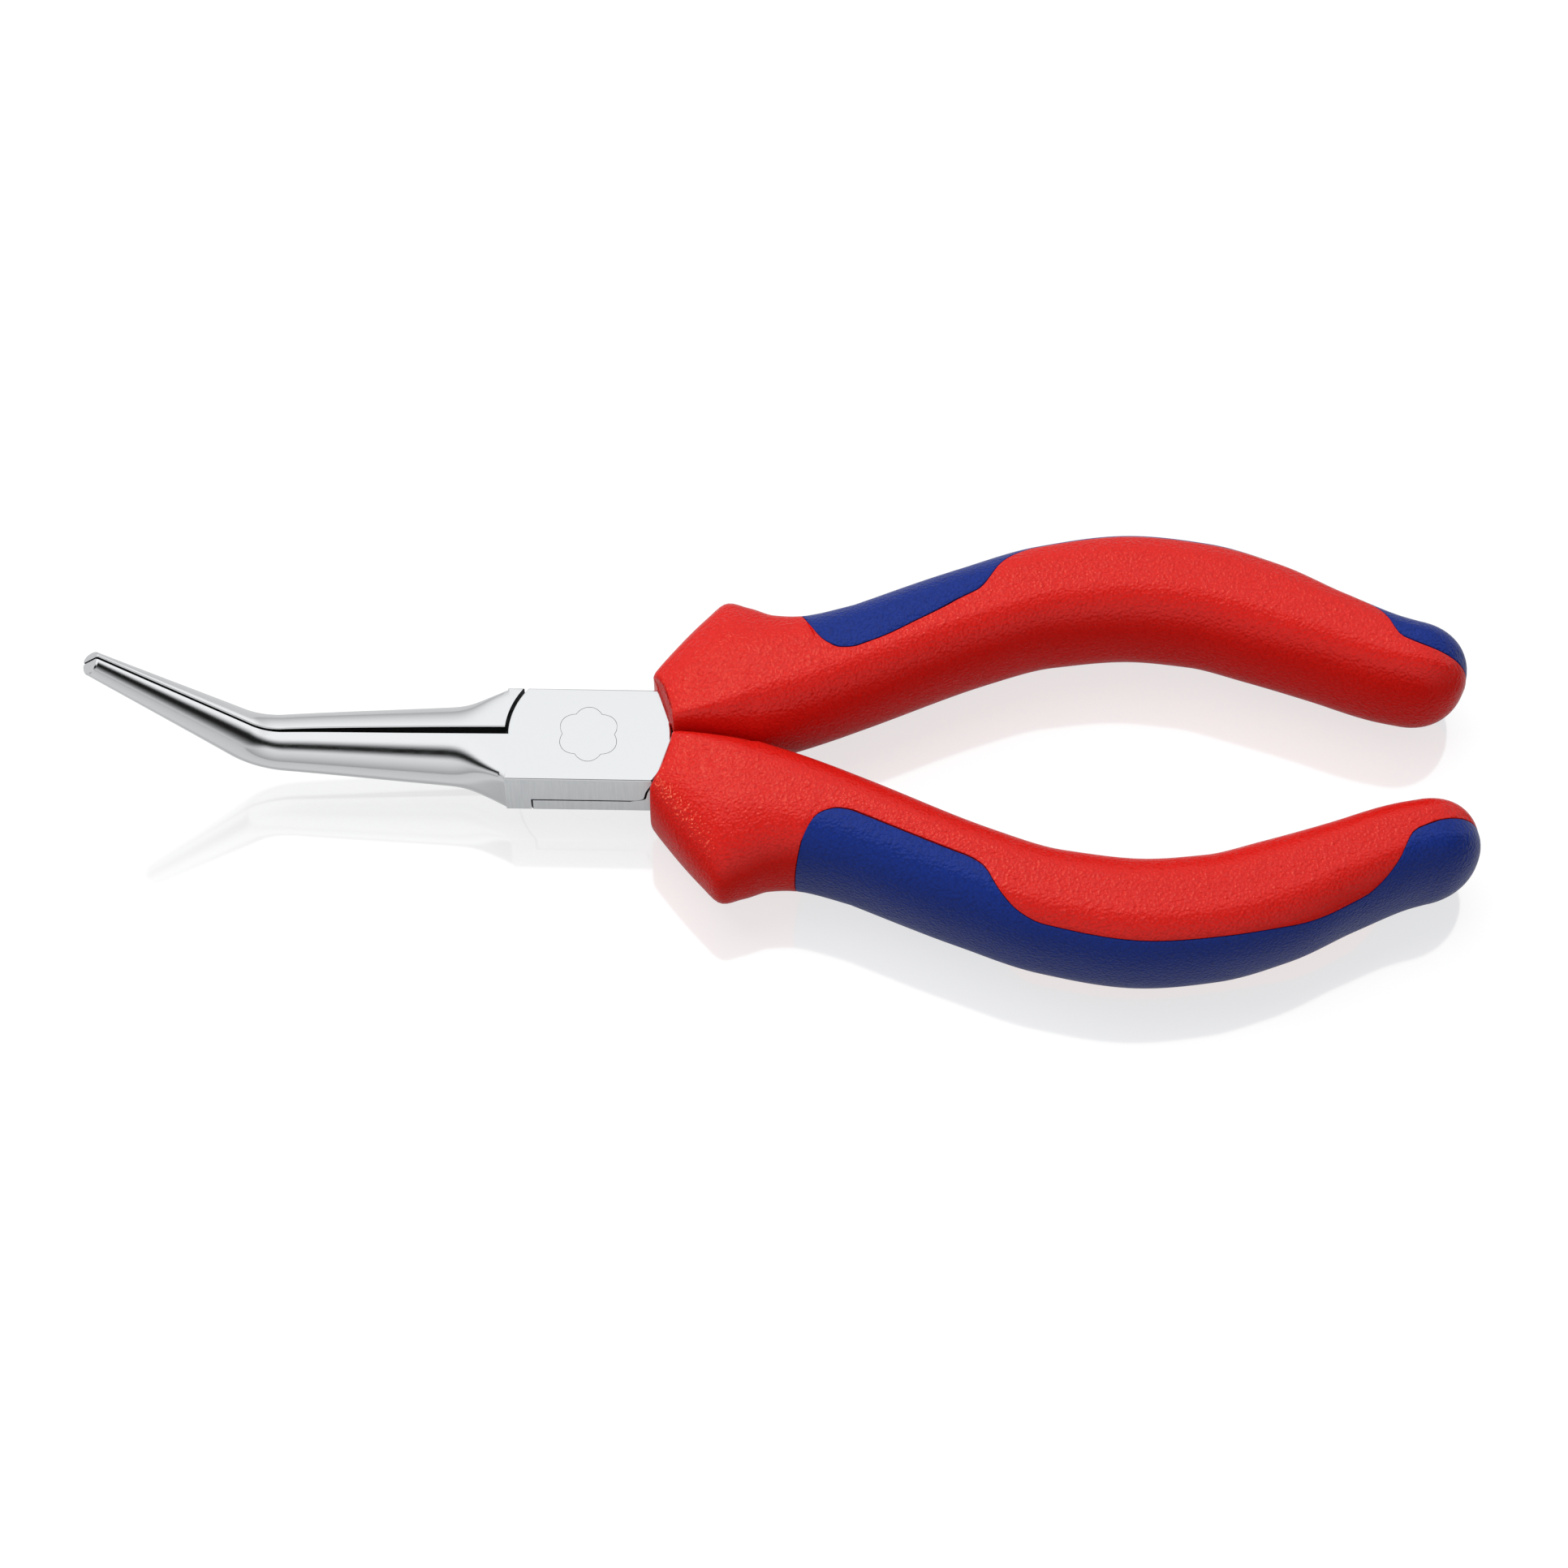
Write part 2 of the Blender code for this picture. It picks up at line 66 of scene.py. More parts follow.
# %% Camera
CAMERA_HEIGHT_ANGLE = math.radians(62.0)
CAMERA_YAW = math.radians(-0.10)
CAMERA_ROLL = math.radians(0.959)
CAMERA_DISTANCE = 460.0
CAMERA_AIM = Vector((22.818, -4.159, 0.0))
FOCAL_PIXELS = 4861.6
IMAGE_PIXELS = 1932
SENSOR = 36.0
CLIP_START = 0.01

level = Vector((math.cos(CAMERA_YAW), math.sin(CAMERA_YAW), 0.0))
towards = Vector((math.sin(CAMERA_YAW), -math.cos(CAMERA_YAW), 0.0))
back = towards * math.cos(CAMERA_HEIGHT_ANGLE) + Vector((0, 0, math.sin(CAMERA_HEIGHT_ANGLE)))
upright = back.cross(level)
right = level * math.cos(CAMERA_ROLL) + upright * math.sin(CAMERA_ROLL)
up = upright * math.cos(CAMERA_ROLL) - level * math.sin(CAMERA_ROLL)

bpy.ops.object.select_all(action="DESELECT")
bpy.ops.object.camera_add()
camera = bpy.context.object
camera.name = "photo_camera"
camera.data.sensor_width = SENSOR
camera.data.lens = SENSOR * FOCAL_PIXELS / IMAGE_PIXELS
camera.data.clip_start = CLIP_START
place = put(CAMERA_AIM + back * CAMERA_DISTANCE)
turn = Matrix((right, up, back)).transposed().to_4x4()
camera.matrix_world = Matrix.Translation(place) @ turn
bpy.context.scene.camera = camera
print("camera at", [round(v, 4) for v in place], "lens", round(camera.data.lens, 2))

# %% [markdown]
# ## Small helpers
# `start_fresh` deselects everything, because an operator acts on all that is selected. A curve
# through a few knots describes what changes along a handle. `wrapped_sheet` adds a grid, the plain
# sheet of a modeller, and lays each of its points on a surface; rows run along the piece and columns
# around it. Each point keeps its row and column, so a later extrusion knows where its points belong.

# %% Helpers


def start_fresh():
    """Leaves edit mode and deselects everything."""
    if bpy.context.mode != "OBJECT":
        bpy.ops.object.mode_set(mode="OBJECT")
    bpy.ops.object.select_all(action="DESELECT")


def pick(piece):
    """Selects one piece alone and makes it active."""
    start_fresh()
    piece.select_set(True)
    bpy.context.view_layer.objects.active = piece


def curve(knots, x):
    """The value at x on a smooth curve through the knots that doesn't overshoot between them."""
    if x <= knots[0][0]:
        return knots[0][1]
    if x >= knots[-1][0]:
        return knots[-1][1]
    last = len(knots) - 1
    rise = [(b[1] - a[1]) / (b[0] - a[0]) for a, b in zip(knots, knots[1:])]

    def slope(i):
        if i in (0, last):
            return rise[min(i, last - 1)]
        if rise[i - 1] * rise[i] <= 0:
            return 0.0
        return 2 * rise[i - 1] * rise[i] / (rise[i - 1] + rise[i])

    i = next(i for i in range(last) if x < knots[i + 1][0])
    span = knots[i + 1][0] - knots[i][0]
    t = (x - knots[i][0]) / span
    start = (1 + 2 * t) * (1 - t) ** 2 * knots[i][1] + t * (1 - t) ** 2 * span * slope(i)
    end = t * t * (3 - 2 * t) * knots[i + 1][1] + t * t * (t - 1) * span * slope(i + 1)
    return start + end


def steps(low, high, size):
    """Even values from low to high, about one size apart."""
    count = max(1, round((high - low) / size))
    return [low + (high - low) * i / count for i in range(count + 1)]


def wrapped_sheet(name, rows, columns, place):
    """A grid whose points are laid where place(row, column) says, in mm."""
    start_fresh()
    bpy.ops.mesh.primitive_grid_add(x_subdivisions=rows - 1, y_subdivisions=columns - 1, size=1)
    piece = bpy.context.object
    piece.name = name
    piece.data.name = name
    row_of = piece.data.attributes.new("row", "INT", "POINT")
    column_of = piece.data.attributes.new("column", "INT", "POINT")
    for vertex in piece.data.vertices:
        i = round((vertex.co.x + 0.5) * (rows - 1))
        j = round((vertex.co.y + 0.5) * (columns - 1))
        row_of.data[vertex.index].value = i
        column_of.data[vertex.index].value = j
        vertex.co = put(place(i, j))
    return piece


def sink(piece, chosen, place):
    """Extrudes the chosen faces and puts the new points in place by their row and column."""
    row_of = piece.data.attributes["row"].data
    column_of = piece.data.attributes["column"].data
    cells = {}
    for face in piece.data.polygons:
        row = min(row_of[v].value for v in face.vertices)
        cells[face.index] = chosen(row, min(column_of[v].value for v in face.vertices))
    bpy.context.tool_settings.mesh_select_mode = (False, False, True)
    bpy.ops.object.mode_set(mode="EDIT")
    bpy.ops.mesh.select_all(action="DESELECT")
    bpy.ops.object.mode_set(mode="OBJECT")
    for face in piece.data.polygons:
        face.select = cells[face.index]
    bpy.ops.object.mode_set(mode="EDIT")
    bpy.ops.mesh.extrude_region_move()
    bpy.ops.object.mode_set(mode="OBJECT")
    row_of = piece.data.attributes["row"].data
    column_of = piece.data.attributes["column"].data
    for vertex in piece.data.vertices:
        if vertex.select:
            vertex.co = put(place(row_of[vertex.index].value, column_of[vertex.index].value))


def close_up(piece, fill=True):
    """Merges points that meet, fills open ends and turns every face outwards."""
    bpy.ops.object.mode_set(mode="EDIT")
    bpy.ops.mesh.select_all(action="SELECT")
    bpy.ops.mesh.remove_doubles(threshold=MERGE_DISTANCE * MM)
    bpy.ops.mesh.dissolve_degenerate(threshold=SLIVER_WIDTH * MM)
    if fill:
        bpy.ops.mesh.select_all(action="SELECT")
        bpy.ops.mesh.fill_holes(sides=0)
    bpy.ops.mesh.select_all(action="SELECT")
    bpy.ops.mesh.normals_make_consistent(inside=False)
    bpy.ops.object.mode_set(mode="OBJECT")
    for label in ("row", "column"):
        attribute = piece.data.attributes.get(label)
        if attribute:
            piece.data.attributes.remove(attribute)


def modify(piece, kind, **settings):
    """Adds a modifier with its settings and applies it."""
    pick(piece)
    modifier = piece.modifiers.new(kind, kind)
    for label, value in settings.items():
        setattr(modifier, label, value)
    bpy.ops.object.modifier_apply(modifier=modifier.name)


def combine(piece, other, operation):
    """A Boolean with another piece, which is used up."""
    modify(piece, "BOOLEAN", operation=operation, solver="EXACT", object=other)
    bpy.data.objects.remove(other, do_unlink=True)


def smooth(piece, degrees):
    """Smooth shading, with edges sharper than the angle left crisp."""
    pick(piece)
    bpy.ops.object.shade_smooth_by_angle(angle=math.radians(degrees))
    piece.data.update()


# %% [markdown]
# ## Grips: the shape of a handle
# A grip is an oval sleeve along a bowed line. Its section is a superellipse with a flat crown, wider
# in front on the outer side, where the finger guard stands out. These curves are the CAD model's, so
# both agree. The front ends on a circle that keeps clear of the joint's head; the circle's centre lies
# a little in front of the pivot.

# %% Grip shape
GRIP_FRONT = 7.0
GRIP_MOUTH = 7.35
FRONT_CENTRE = Vector((-3.0, 0.0))
FRONT_RADIUS = 12.8
GRIP_THICKNESS = 15.2
GRIP_GAP = 0.2
GRIP_ROUNDNESS = 2.4
GRIP_CROWN = 1.035
CAP_START = 96.5
CAP_LENGTH = 6.72
CAP_ROUNDNESS = 2.2
GRIP_END = CAP_START + CAP_LENGTH
TURN_START, TURN_END = 18.0, 30.0
SLOPE_STEP = 0.1
FRONT_SEARCH = 6.0
FRONT_HALVINGS = 30

HANDLE_LINE = (
    (GRIP_FRONT, 3.7), (12.0, 4.4), (20.0, 7.0), (30.0, 11.0),
    (0.435 * GRIP_END, 17.3), (0.523 * GRIP_END, 20.3), (0.62 * GRIP_END, 21.58),
    (0.697 * GRIP_END, 20.8), (0.765 * GRIP_END, 18.7), (0.842 * GRIP_END, 15.4),
    (0.915 * GRIP_END, 12.4), (GRIP_END, 10.5),
)
GRIP_HALF_WIDTH = (
    (20.0, 6.7), (0.435 * GRIP_END, 6.4), (0.62 * GRIP_END, 6.9),
    (0.765 * GRIP_END, 6.6), (0.842 * GRIP_END, 5.8), (CAP_START, 5.2),
)
GUARD_REACH = (
    (7.0, -2.2), (8.0, -0.7), (13.5, 5.4), (15.6, 6.8),
    (18.4, 5.1), (22.0, 2.7), (28.0, 0.6), (33.0, 0.0),
)
FRONT_DROP = ((7.0, 1.9), (8.0, 1.4), (12.0, 0.4), (18.0, 0.0))
INNER_ROUNDNESS = ((7.0, 6.0), (10.0, 5.0), (13.0, 3.8), (19.0, GRIP_ROUNDNESS))


@functools.cache
def handle_frame(x):
    """Centre of the handle on +Y at x, and its sideways direction."""
    ahead = curve(HANDLE_LINE, x + SLOPE_STEP)
    slope = (ahead - curve(HANDLE_LINE, x - SLOPE_STEP)) / (2 * SLOPE_STEP)
    turned = min(max((x - TURN_START) / (TURN_END - TURN_START), 0.0), 1.0)
    angle = math.atan(slope) * turned * turned * (3 - 2 * turned)
    return Vector((x, curve(HANDLE_LINE, x), 0)), Vector((-math.sin(angle), math.cos(angle), 0))


def grip_point(x, angle, inset=0.0, scale=1.0):
    """A point on the grip on +Y: angle 0 is its outer side and a right angle its top."""
    centre, out = handle_frame(x)
    width = curve(GRIP_HALF_WIDTH, x)
    outer = width + curve(GUARD_REACH, x) - inset
    inner = min(width, centre.y - GRIP_GAP) - inset
    half = GRIP_THICKNESS / 2 - curve(FRONT_DROP, x) - inset
    power = 2 / (GRIP_ROUNDNESS if math.cos(angle) > 0 else curve(INNER_ROUNDNESS, x))
    across = math.copysign(abs(math.cos(angle)) ** power, math.cos(angle))
    rise = math.copysign(abs(math.sin(angle)) ** power, math.sin(angle)) * GRIP_CROWN
    rise = max(-1.0, min(1.0, rise))
    reach = outer if across > 0 else inner
    return centre + (out * (reach * across) + Vector((0, 0, half * rise))) * scale


@functools.cache
def front_place(angle):
    """Where the grip's surface meets the circle of its front, at this angle round the section."""
    low, high = GRIP_MOUTH, GRIP_MOUTH + FRONT_SEARCH
    for _ in range(FRONT_HALVINGS):
        x = (low + high) / 2
        if (grip_point(x, angle).xy - FRONT_CENTRE).length < FRONT_RADIUS:
            low = x
        else:
            high = x
    return high


print("handle bow:", round(curve(HANDLE_LINE, 64.0), 2), "mm from the middle at X = 64 mm")

# %% [markdown]
# ## Grips: red sleeves with a pocket
# The sleeve starts as a sheet that is wrapped round the handle until its edges meet. Its columns
# follow the outline of the blue pad, so the faces under the pad are sunk by one extrusion, which
# leaves a clean pocket. A bevel then rounds the pocket's rim, and rows that curl in round the front.
# The edge tables give the pad's edge as an angle round the section; the two grips are one moulding
# turned over, so each pad has a full edge on one side and a cut one on the other.

# %% Red sleeves
INLAY_START = 26.5
INLAY_CORNER = 4.3
INLAY_DEPTH = 1.2
SPINE_EDGE = (
    (0.697 * GRIP_END, 45), (0.813 * GRIP_END, 31), (0.842 * GRIP_END, 32), (0.862 * GRIP_END, 40),
    (0.886 * GRIP_END, 57), (0.92 * GRIP_END, 88), (GRIP_END, 95),
)
FULL_EDGE = (
    (26.5, 46), (26.8, 63), (27.3, 75.5), (28.1, 83), (29.2, 88), (30.8, 90), (43.6, 90), (45.4, 88),
    (46.5, 83), (47.7, 73), (49.3, 62), (50.8, 54), (53.2, 48),
) + SPINE_EDGE
CUT_EDGE = (
    (26.5, 48), (26.8, 67), (27.3, 81), (28.1, 89), (29.2, 94), (30.8, 97), (33.0, 97), (38.0, 93.5),
    (43.2, 89), (45.7, 86), (47.3, 78), (49.3, 62), (51.0, 52), (53.6, 44),
) + SPINE_EDGE
FRONT_ROUND = 0.35
FRONT_SETTLED = 19.0
GROOVE = 0.11
RIM_ROUND = 0.12
PAD_COLUMNS = 32
BARE_COLUMNS = 46
CURL_ROWS = 5
CAP_ROWS = 18
FRONT_STEP = 0.045
BODY_STEP = 0.7
CORNER_STEP = 0.3
PAD_STEP = 0.75
RIM_ANGLE = 50
GRIP_CREASE = 40

corner_end = INLAY_START + INLAY_CORNER
front_rows = steps(0.0, 1.0, FRONT_STEP)[1:]
body_rows = steps(FRONT_SETTLED, INLAY_START, BODY_STEP)[1:-1]
pad_rows = [(x, 1.0) for x in steps(INLAY_START, corner_end, CORNER_STEP)]
pad_rows += [(x, 1.0) for x in steps(corner_end, CAP_START, PAD_STEP)[1:]]
for k in range(1, CAP_ROWS + 1):
    share = math.sin(math.pi / 2 * k / CAP_ROWS)
    scale = (1 - share ** CAP_ROUNDNESS) ** (1 / CAP_ROUNDNESS)
    pad_rows.append((CAP_START + CAP_LENGTH * share, scale))
first_pad_row = CURL_ROWS + len(front_rows) + len(body_rows)
sleeve_rows = first_pad_row + len(pad_rows)
sleeve_columns = PAD_COLUMNS + BARE_COLUMNS + 1


@functools.cache
def pad_edges(x, side):
    """Angles of the pad's lower and upper edge. The far grip, on +Y, is the near one turned over."""
    lower, upper = (FULL_EDGE, CUT_EDGE) if side > 0 else (CUT_EDGE, FULL_EDGE)
    return -math.radians(curve(lower, x)), math.radians(curve(upper, x))


def sleeve_angle(x, column, side):
    """Angle round the section: the pad's columns first, then the bare ones, back to the start."""
    low, high = pad_edges(x, side)
    if column <= PAD_COLUMNS:
        return low + (high - low) * column / PAD_COLUMNS
    return high + (2 * math.pi + low - high) * (column - PAD_COLUMNS) / BARE_COLUMNS


def sleeve_point(row, column, side, inset=0.0):
    """A point of the sleeve: rows curl in at the front, settle, run along the pad and close the cap."""
    if row < CURL_ROWS:
        angle = sleeve_angle(INLAY_START, column, side)
        curl = math.pi / 2 * (1 - row / CURL_ROWS)
        start = front_place(angle)
        x = start + FRONT_ROUND * (1 - math.sin(curl))
        point = grip_point(x, angle, FRONT_ROUND * (1 - math.cos(curl)))
    elif row < CURL_ROWS + len(front_rows):
        angle = sleeve_angle(INLAY_START, column, side)
        start = front_place(angle) + FRONT_ROUND
        share = front_rows[row - CURL_ROWS]
        point = grip_point(start + (FRONT_SETTLED - start) * share, angle)
    elif row < first_pad_row:
        x = body_rows[row - CURL_ROWS - len(front_rows)]
        point = grip_point(x, sleeve_angle(x, column, side))
    else:
        x, scale = pad_rows[row - first_pad_row]
        angle = sleeve_angle(x, column, side)
        if inset and x > CAP_START:
            x = CAP_START + (x - CAP_START) * (1 - inset / CAP_LENGTH)
        point = grip_point(x, angle, inset, scale)
    return Vector((point.x, side * point.y, point.z))


def red_sleeve(name, side):
    """One sleeve with its pocket, on the side of Y given by side, kept above the table."""
    sleeve = wrapped_sheet(name, sleeve_rows, sleeve_columns, lambda i, j: sleeve_point(i, j, side))
    sink(sleeve, lambda i, j: i >= first_pad_row and j < PAD_COLUMNS,
         lambda i, j: sleeve_point(i, j, side, INLAY_DEPTH))
    close_up(sleeve)
    modify(sleeve, "BEVEL", width=RIM_ROUND * MM, segments=2, limit_method="ANGLE",
           angle_limit=math.radians(RIM_ANGLE))
    for vertex in sleeve.data.vertices:
        vertex.co.z = max(vertex.co.z, FLOOR_HEIGHT * MM)
    smooth(sleeve, GRIP_CREASE)
    print(name, len(sleeve.data.polygons), "faces")
    return sleeve


upper_sleeve = red_sleeve("upper_grip_sleeve", 1)
lower_sleeve = red_sleeve("lower_grip_sleeve", -1)

# %% [markdown]
# ## Grips: blue pads
# The pad is the second plastic, moulded into the pocket until it is flush. It is the same patch of
# the surface, a hair smaller all round, extruded inwards to its thickness and bevelled, so that a
# fine groove shows along the seam, as two-shot mouldings have.

# %% Blue pads
SMALLEST_SCALE = 0.3


def pad_point(row, column, side, inset):
    """A point of the pad, kept a groove's width inside the pocket."""
    x, scale = pad_rows[row]
    if row == 0:
        x += GROOVE
    low, high = pad_edges(x, side)
    margin = GROOVE / (GRIP_THICKNESS / 2 * max(scale, SMALLEST_SCALE))
    angle = low + margin + (high - low - 2 * margin) * column / PAD_COLUMNS
    if inset and x > CAP_START:
        x = CAP_START + (x - CAP_START) * (1 - inset / CAP_LENGTH)
    point = grip_point(x, angle, inset, scale)
    return Vector((point.x, side * point.y, point.z))


def blue_pad(name, side):
    """One pad, on the side of Y given by side."""
    depth = INLAY_DEPTH - GROOVE
    pad = wrapped_sheet(name, len(pad_rows), PAD_COLUMNS + 1, lambda i, j: pad_point(i, j, side, 0.0))
    sink(pad, lambda i, j: True, lambda i, j: pad_point(i, j, side, depth))
    close_up(pad, fill=False)
    modify(pad, "BEVEL", width=RIM_ROUND * MM, segments=2, limit_method="ANGLE",
           angle_limit=math.radians(RIM_ANGLE))
    smooth(pad, GRIP_CREASE)
    print(name, len(pad.data.polygons), "faces")
    return pad


upper_pad = blue_pad("upper_grip_pad", 1)
lower_pad = blue_pad("lower_grip_pad", -1)

# %% [markdown]
# ## Levers: jaws
# Each jaw is half-round: flat where it grips and round outside, tapering to the tip, and both bend
# upwards. It is a sheet again, wrapped round the half-round section along a bent line. Close to the
# joint the section fills out to the square head. Fine teeth run across the gripping face towards the
# tip; they are cut into the face, so the jaws still close.

# %% Jaws
JOINT_WIDTH = 12.1
JOINT_THICKNESS = 7.6
JAW_ROOT = 9.6
JAW_OVERLAP = 2.0
JAW_WIDTH = 5.3
JAW_ROUNDNESS = 2.0
ROOT_ROUNDNESS = 14.0
JAW_FLARE = 8.0
FLARE_POWER = 4
JAW_STRAIGHT = 29.25
JAW_BEND = math.radians(47.5)
BEND_RADIUS = 8.0
TIP_LENGTH = 25.4
UPPER_TIP_WIDTH = 1.6
LOWER_TIP_WIDTH = 1.2
TIP_THICKNESS = 2.6
TIP_ROUND = 0.15
JAW_ROOT_GAP = 0.86
JAW_TIP_GAP = 0.24
JAW_CLOSING = 1.6
JAW_EDGE = 0.12
JOIN_STEP = 0.002
JAW_RISE = ((0.0, 0.0), (0.2, 0.33), (0.48, 0.75), (1.0, 0.45))
TOOTH_PITCH = 1.0
TOOTH_DEPTH = 0.2
TOOTH_ZONE = 26.0
TOOTH_MARGIN = 0.2
TOOTHLESS_TIP = 1.0
FINE_STEP = 0.25
PLAIN_STEP = 0.5
ROUND_COLUMNS = 44
FLAT_COLUMNS = 8

bend_tangent = BEND_RADIUS * math.tan(JAW_BEND / 2)
bend_start = JAW_STRAIGHT - bend_tangent
bend_end = bend_start + BEND_RADIUS * JAW_BEND
jaw_length = bend_end + TIP_LENGTH - bend_tangent

jaw_rows = [-JAW_OVERLAP] + steps(0.0, JAW_FLARE, FINE_STEP)
jaw_rows += steps(JAW_FLARE, jaw_length - TOOTH_ZONE, PLAIN_STEP)[1:]
jaw_rows += steps(jaw_length - TOOTH_ZONE, jaw_length - TIP_ROUND, FINE_STEP)[1:] + [jaw_length]


def jaw_frame(u):
    """Centre and turn of a jaw at distance u from its root."""
    turn = min(max((u - bend_start) / BEND_RADIUS, 0.0), JAW_BEND)
    x = min(u, bend_start) + BEND_RADIUS * math.sin(turn)
    z = BEND_RADIUS * (1 - math.cos(turn))
    beyond = max(u - bend_end, 0.0)
    centre = Vector((-JAW_ROOT - x - beyond * math.cos(turn), 0, z + beyond * math.sin(turn)))
    return centre, Vector((math.sin(turn), 0, math.cos(turn)))


def tooth(u):
    """Depth of the teeth: a ridge every pitch, none close to the tip's end or the joint."""
    if not jaw_length - TOOTH_ZONE < u < jaw_length - TOOTHLESS_TIP:
        return 0.0
    return TOOTH_DEPTH * abs(2 * ((u / TOOTH_PITCH) % 1.0) - 1)


def jaw_point(row, column, side, tip_width, root_gap, tip_gap):
    """A point of a jaw: the round outside first, then the flat gripping face."""
    u = jaw_rows[row]
    share = min(max(u / jaw_length, 0.0), 1.0)
    flare = max(1 - max(u, 0.0) / JAW_FLARE, 0.0) ** FLARE_POWER
    width = JAW_WIDTH + (tip_width - JAW_WIDTH) * share
    width += (JOINT_WIDTH / 2 - JAW_WIDTH) * flare - JOIN_STEP
    half = (JOINT_THICKNESS + (TIP_THICKNESS - JOINT_THICKNESS) * share) / 2 + JOIN_STEP
    gap = root_gap + (tip_gap - root_gap) * min(max(u / JAW_STRAIGHT, 0.0), 1.0) ** JAW_CLOSING
    power = JAW_ROUNDNESS + (ROOT_ROUNDNESS - JAW_ROUNDNESS) * flare
    if row == len(jaw_rows) - 1:
        width -= TIP_ROUND
        half -= TIP_ROUND
    column %= ROUND_COLUMNS + FLAT_COLUMNS
    if column <= ROUND_COLUMNS:
        angle = math.pi * (0.5 - column / ROUND_COLUMNS)
        across, upward = max(math.cos(angle), 0.0), math.sin(angle)
        reach = (across ** power + abs(upward) ** power) ** (-1 / power)
        out, rise = reach * across, reach * upward
        y = gap + JAW_EDGE + (width - gap - JAW_EDGE) * out
        z = half * rise
    else:
        step = (column - ROUND_COLUMNS - 1) / (FLAT_COLUMNS - 2)
        z = (half - JAW_EDGE) * (2 * step - 1)
        y = gap + (tooth(u) if TOOTH_MARGIN < step < 1 - TOOTH_MARGIN else 0.0)
    centre, rise_way = jaw_frame(u)
    return centre + Vector((0, side * y, 0)) + rise_way * (z + curve(JAW_RISE, share))


def jaw(name, side, tip_width, root_gap, tip_gap):
    """One jaw, closed at both ends, on the side of Y given by side."""
    columns = ROUND_COLUMNS + FLAT_COLUMNS + 1
    piece = wrapped_sheet(name, len(jaw_rows), columns,
                          lambda i, j: jaw_point(i, j, side, tip_width, root_gap, tip_gap))
    close_up(piece)
    return piece


print("jaw length along its line:", round(jaw_length, 1), "mm in", len(jaw_rows), "rows")

# %% [markdown]
# ## Levers: head, shoulder and tang
# The head is a flat plate: its outline is drawn as a circle whose points are moved to the plan of the
# joint, then extruded to its thickness and bevelled for the small ground chamfer. The tang is the bar
# inside the grip. Booleans join the forged parts and cut the round recess of the lap and the rivet's
# hole, as the real lever is forged first and machined afterwards. Behind the recess the lap ends in a
# sloping wall with a round foot, which `LAP_WALL` gives as its radius by height: the upper lever is cut
# along it and the lower one filled up to it. In front, the upper lever's recess is tighter on the side
# of its jaw.

# %% Levers
LAP_HEIGHT = 2.5
HEAD_RADIUS = 9.4
LOWER_FRONT_RADIUS = 8.85
BACK_RADIUS = 9.62
RECESS_RADIUS = 9.8
FRONT_RECESS_RADIUS = 9.0
SHOULDER_END = 11.5
SHOULDER_INSET = 1.4
FIT_GAP = 0.25
HEAD_CHAMFER = 0.22
TANG_WIDTH = 4.8
TANG_THICKNESS = 5.2
TANG_START = 9.0
TANG_FULL = 18.0
TANG_END = 88.0
ROUND_SIDES = 128
LAP_WALL = ((-1.5, 7.5), (-1.3, 7.8), (-1.1, 8.4), (-0.7, 8.85), (0.8, 9.05), (3.0, 9.64))
WALL_GAP = 0.2
WALL_COLUMNS = 24
WALL_STEP = 0.2
WALL_FOOT, FILL_TOP, CUT_TOP = -1.9, 3.3, 4.2
CUT_MARGIN = 0.5
CUT_BACK = 12.0
FILL_BACK = RECESS_RADIUS + 0.6
CUT_REACH = 3
FRONT_SIDES, BACK_SIDES = 24, 28
SEAM_OFFSET = 5 * JOIN_STEP
TANG_STEP = 1.5
STEEL_CREASE = 32
NORMAL_WEIGHT = 80


def arc(radius, start, end, count):
    """Points in plan along an arc about the pivot."""
    angles = [start + (end - start) * i / count for i in range(count + 1)]
    return [(radius * math.cos(a), radius * math.sin(a)) for a in angles]


def plate(name, outline, bottom, top, chamfer):
    """An outline in plan, extruded from bottom to top, with chamfered rims where chamfer isn't 0."""
    start_fresh()
    bpy.ops.mesh.primitive_circle_add(vertices=len(outline), radius=1, fill_type="NGON")
    piece = bpy.context.object
    piece.name = name
    for vertex, (x, y) in zip(piece.data.vertices, outline):
        vertex.co = put((x, y, bottom))
    bpy.ops.object.mode_set(mode="EDIT")
    bpy.ops.mesh.select_all(action="SELECT")
    bpy.ops.mesh.extrude_region_move(TRANSFORM_OT_translate={"value": (0, 0, (top - bottom) * MM)})
    bpy.ops.mesh.select_all(action="SELECT")
    bpy.ops.mesh.normals_make_consistent(inside=False)
    if chamfer:
        bpy.ops.mesh.select_all(action="DESELECT")
        bpy.context.tool_settings.mesh_select_mode = (False, True, False)
        bpy.ops.object.mode_set(mode="OBJECT")
        for edge in piece.data.edges:
            a, b = (piece.data.vertices[v].co for v in edge.vertices)
            edge.select = abs(a.z - b.z) < JOIN_STEP * MM
        bpy.ops.object.mode_set(mode="EDIT")
        bpy.ops.mesh.bevel(offset=chamfer * MM, segments=2, affect="EDGES")
    bpy.ops.object.mode_set(mode="OBJECT")
    return piece


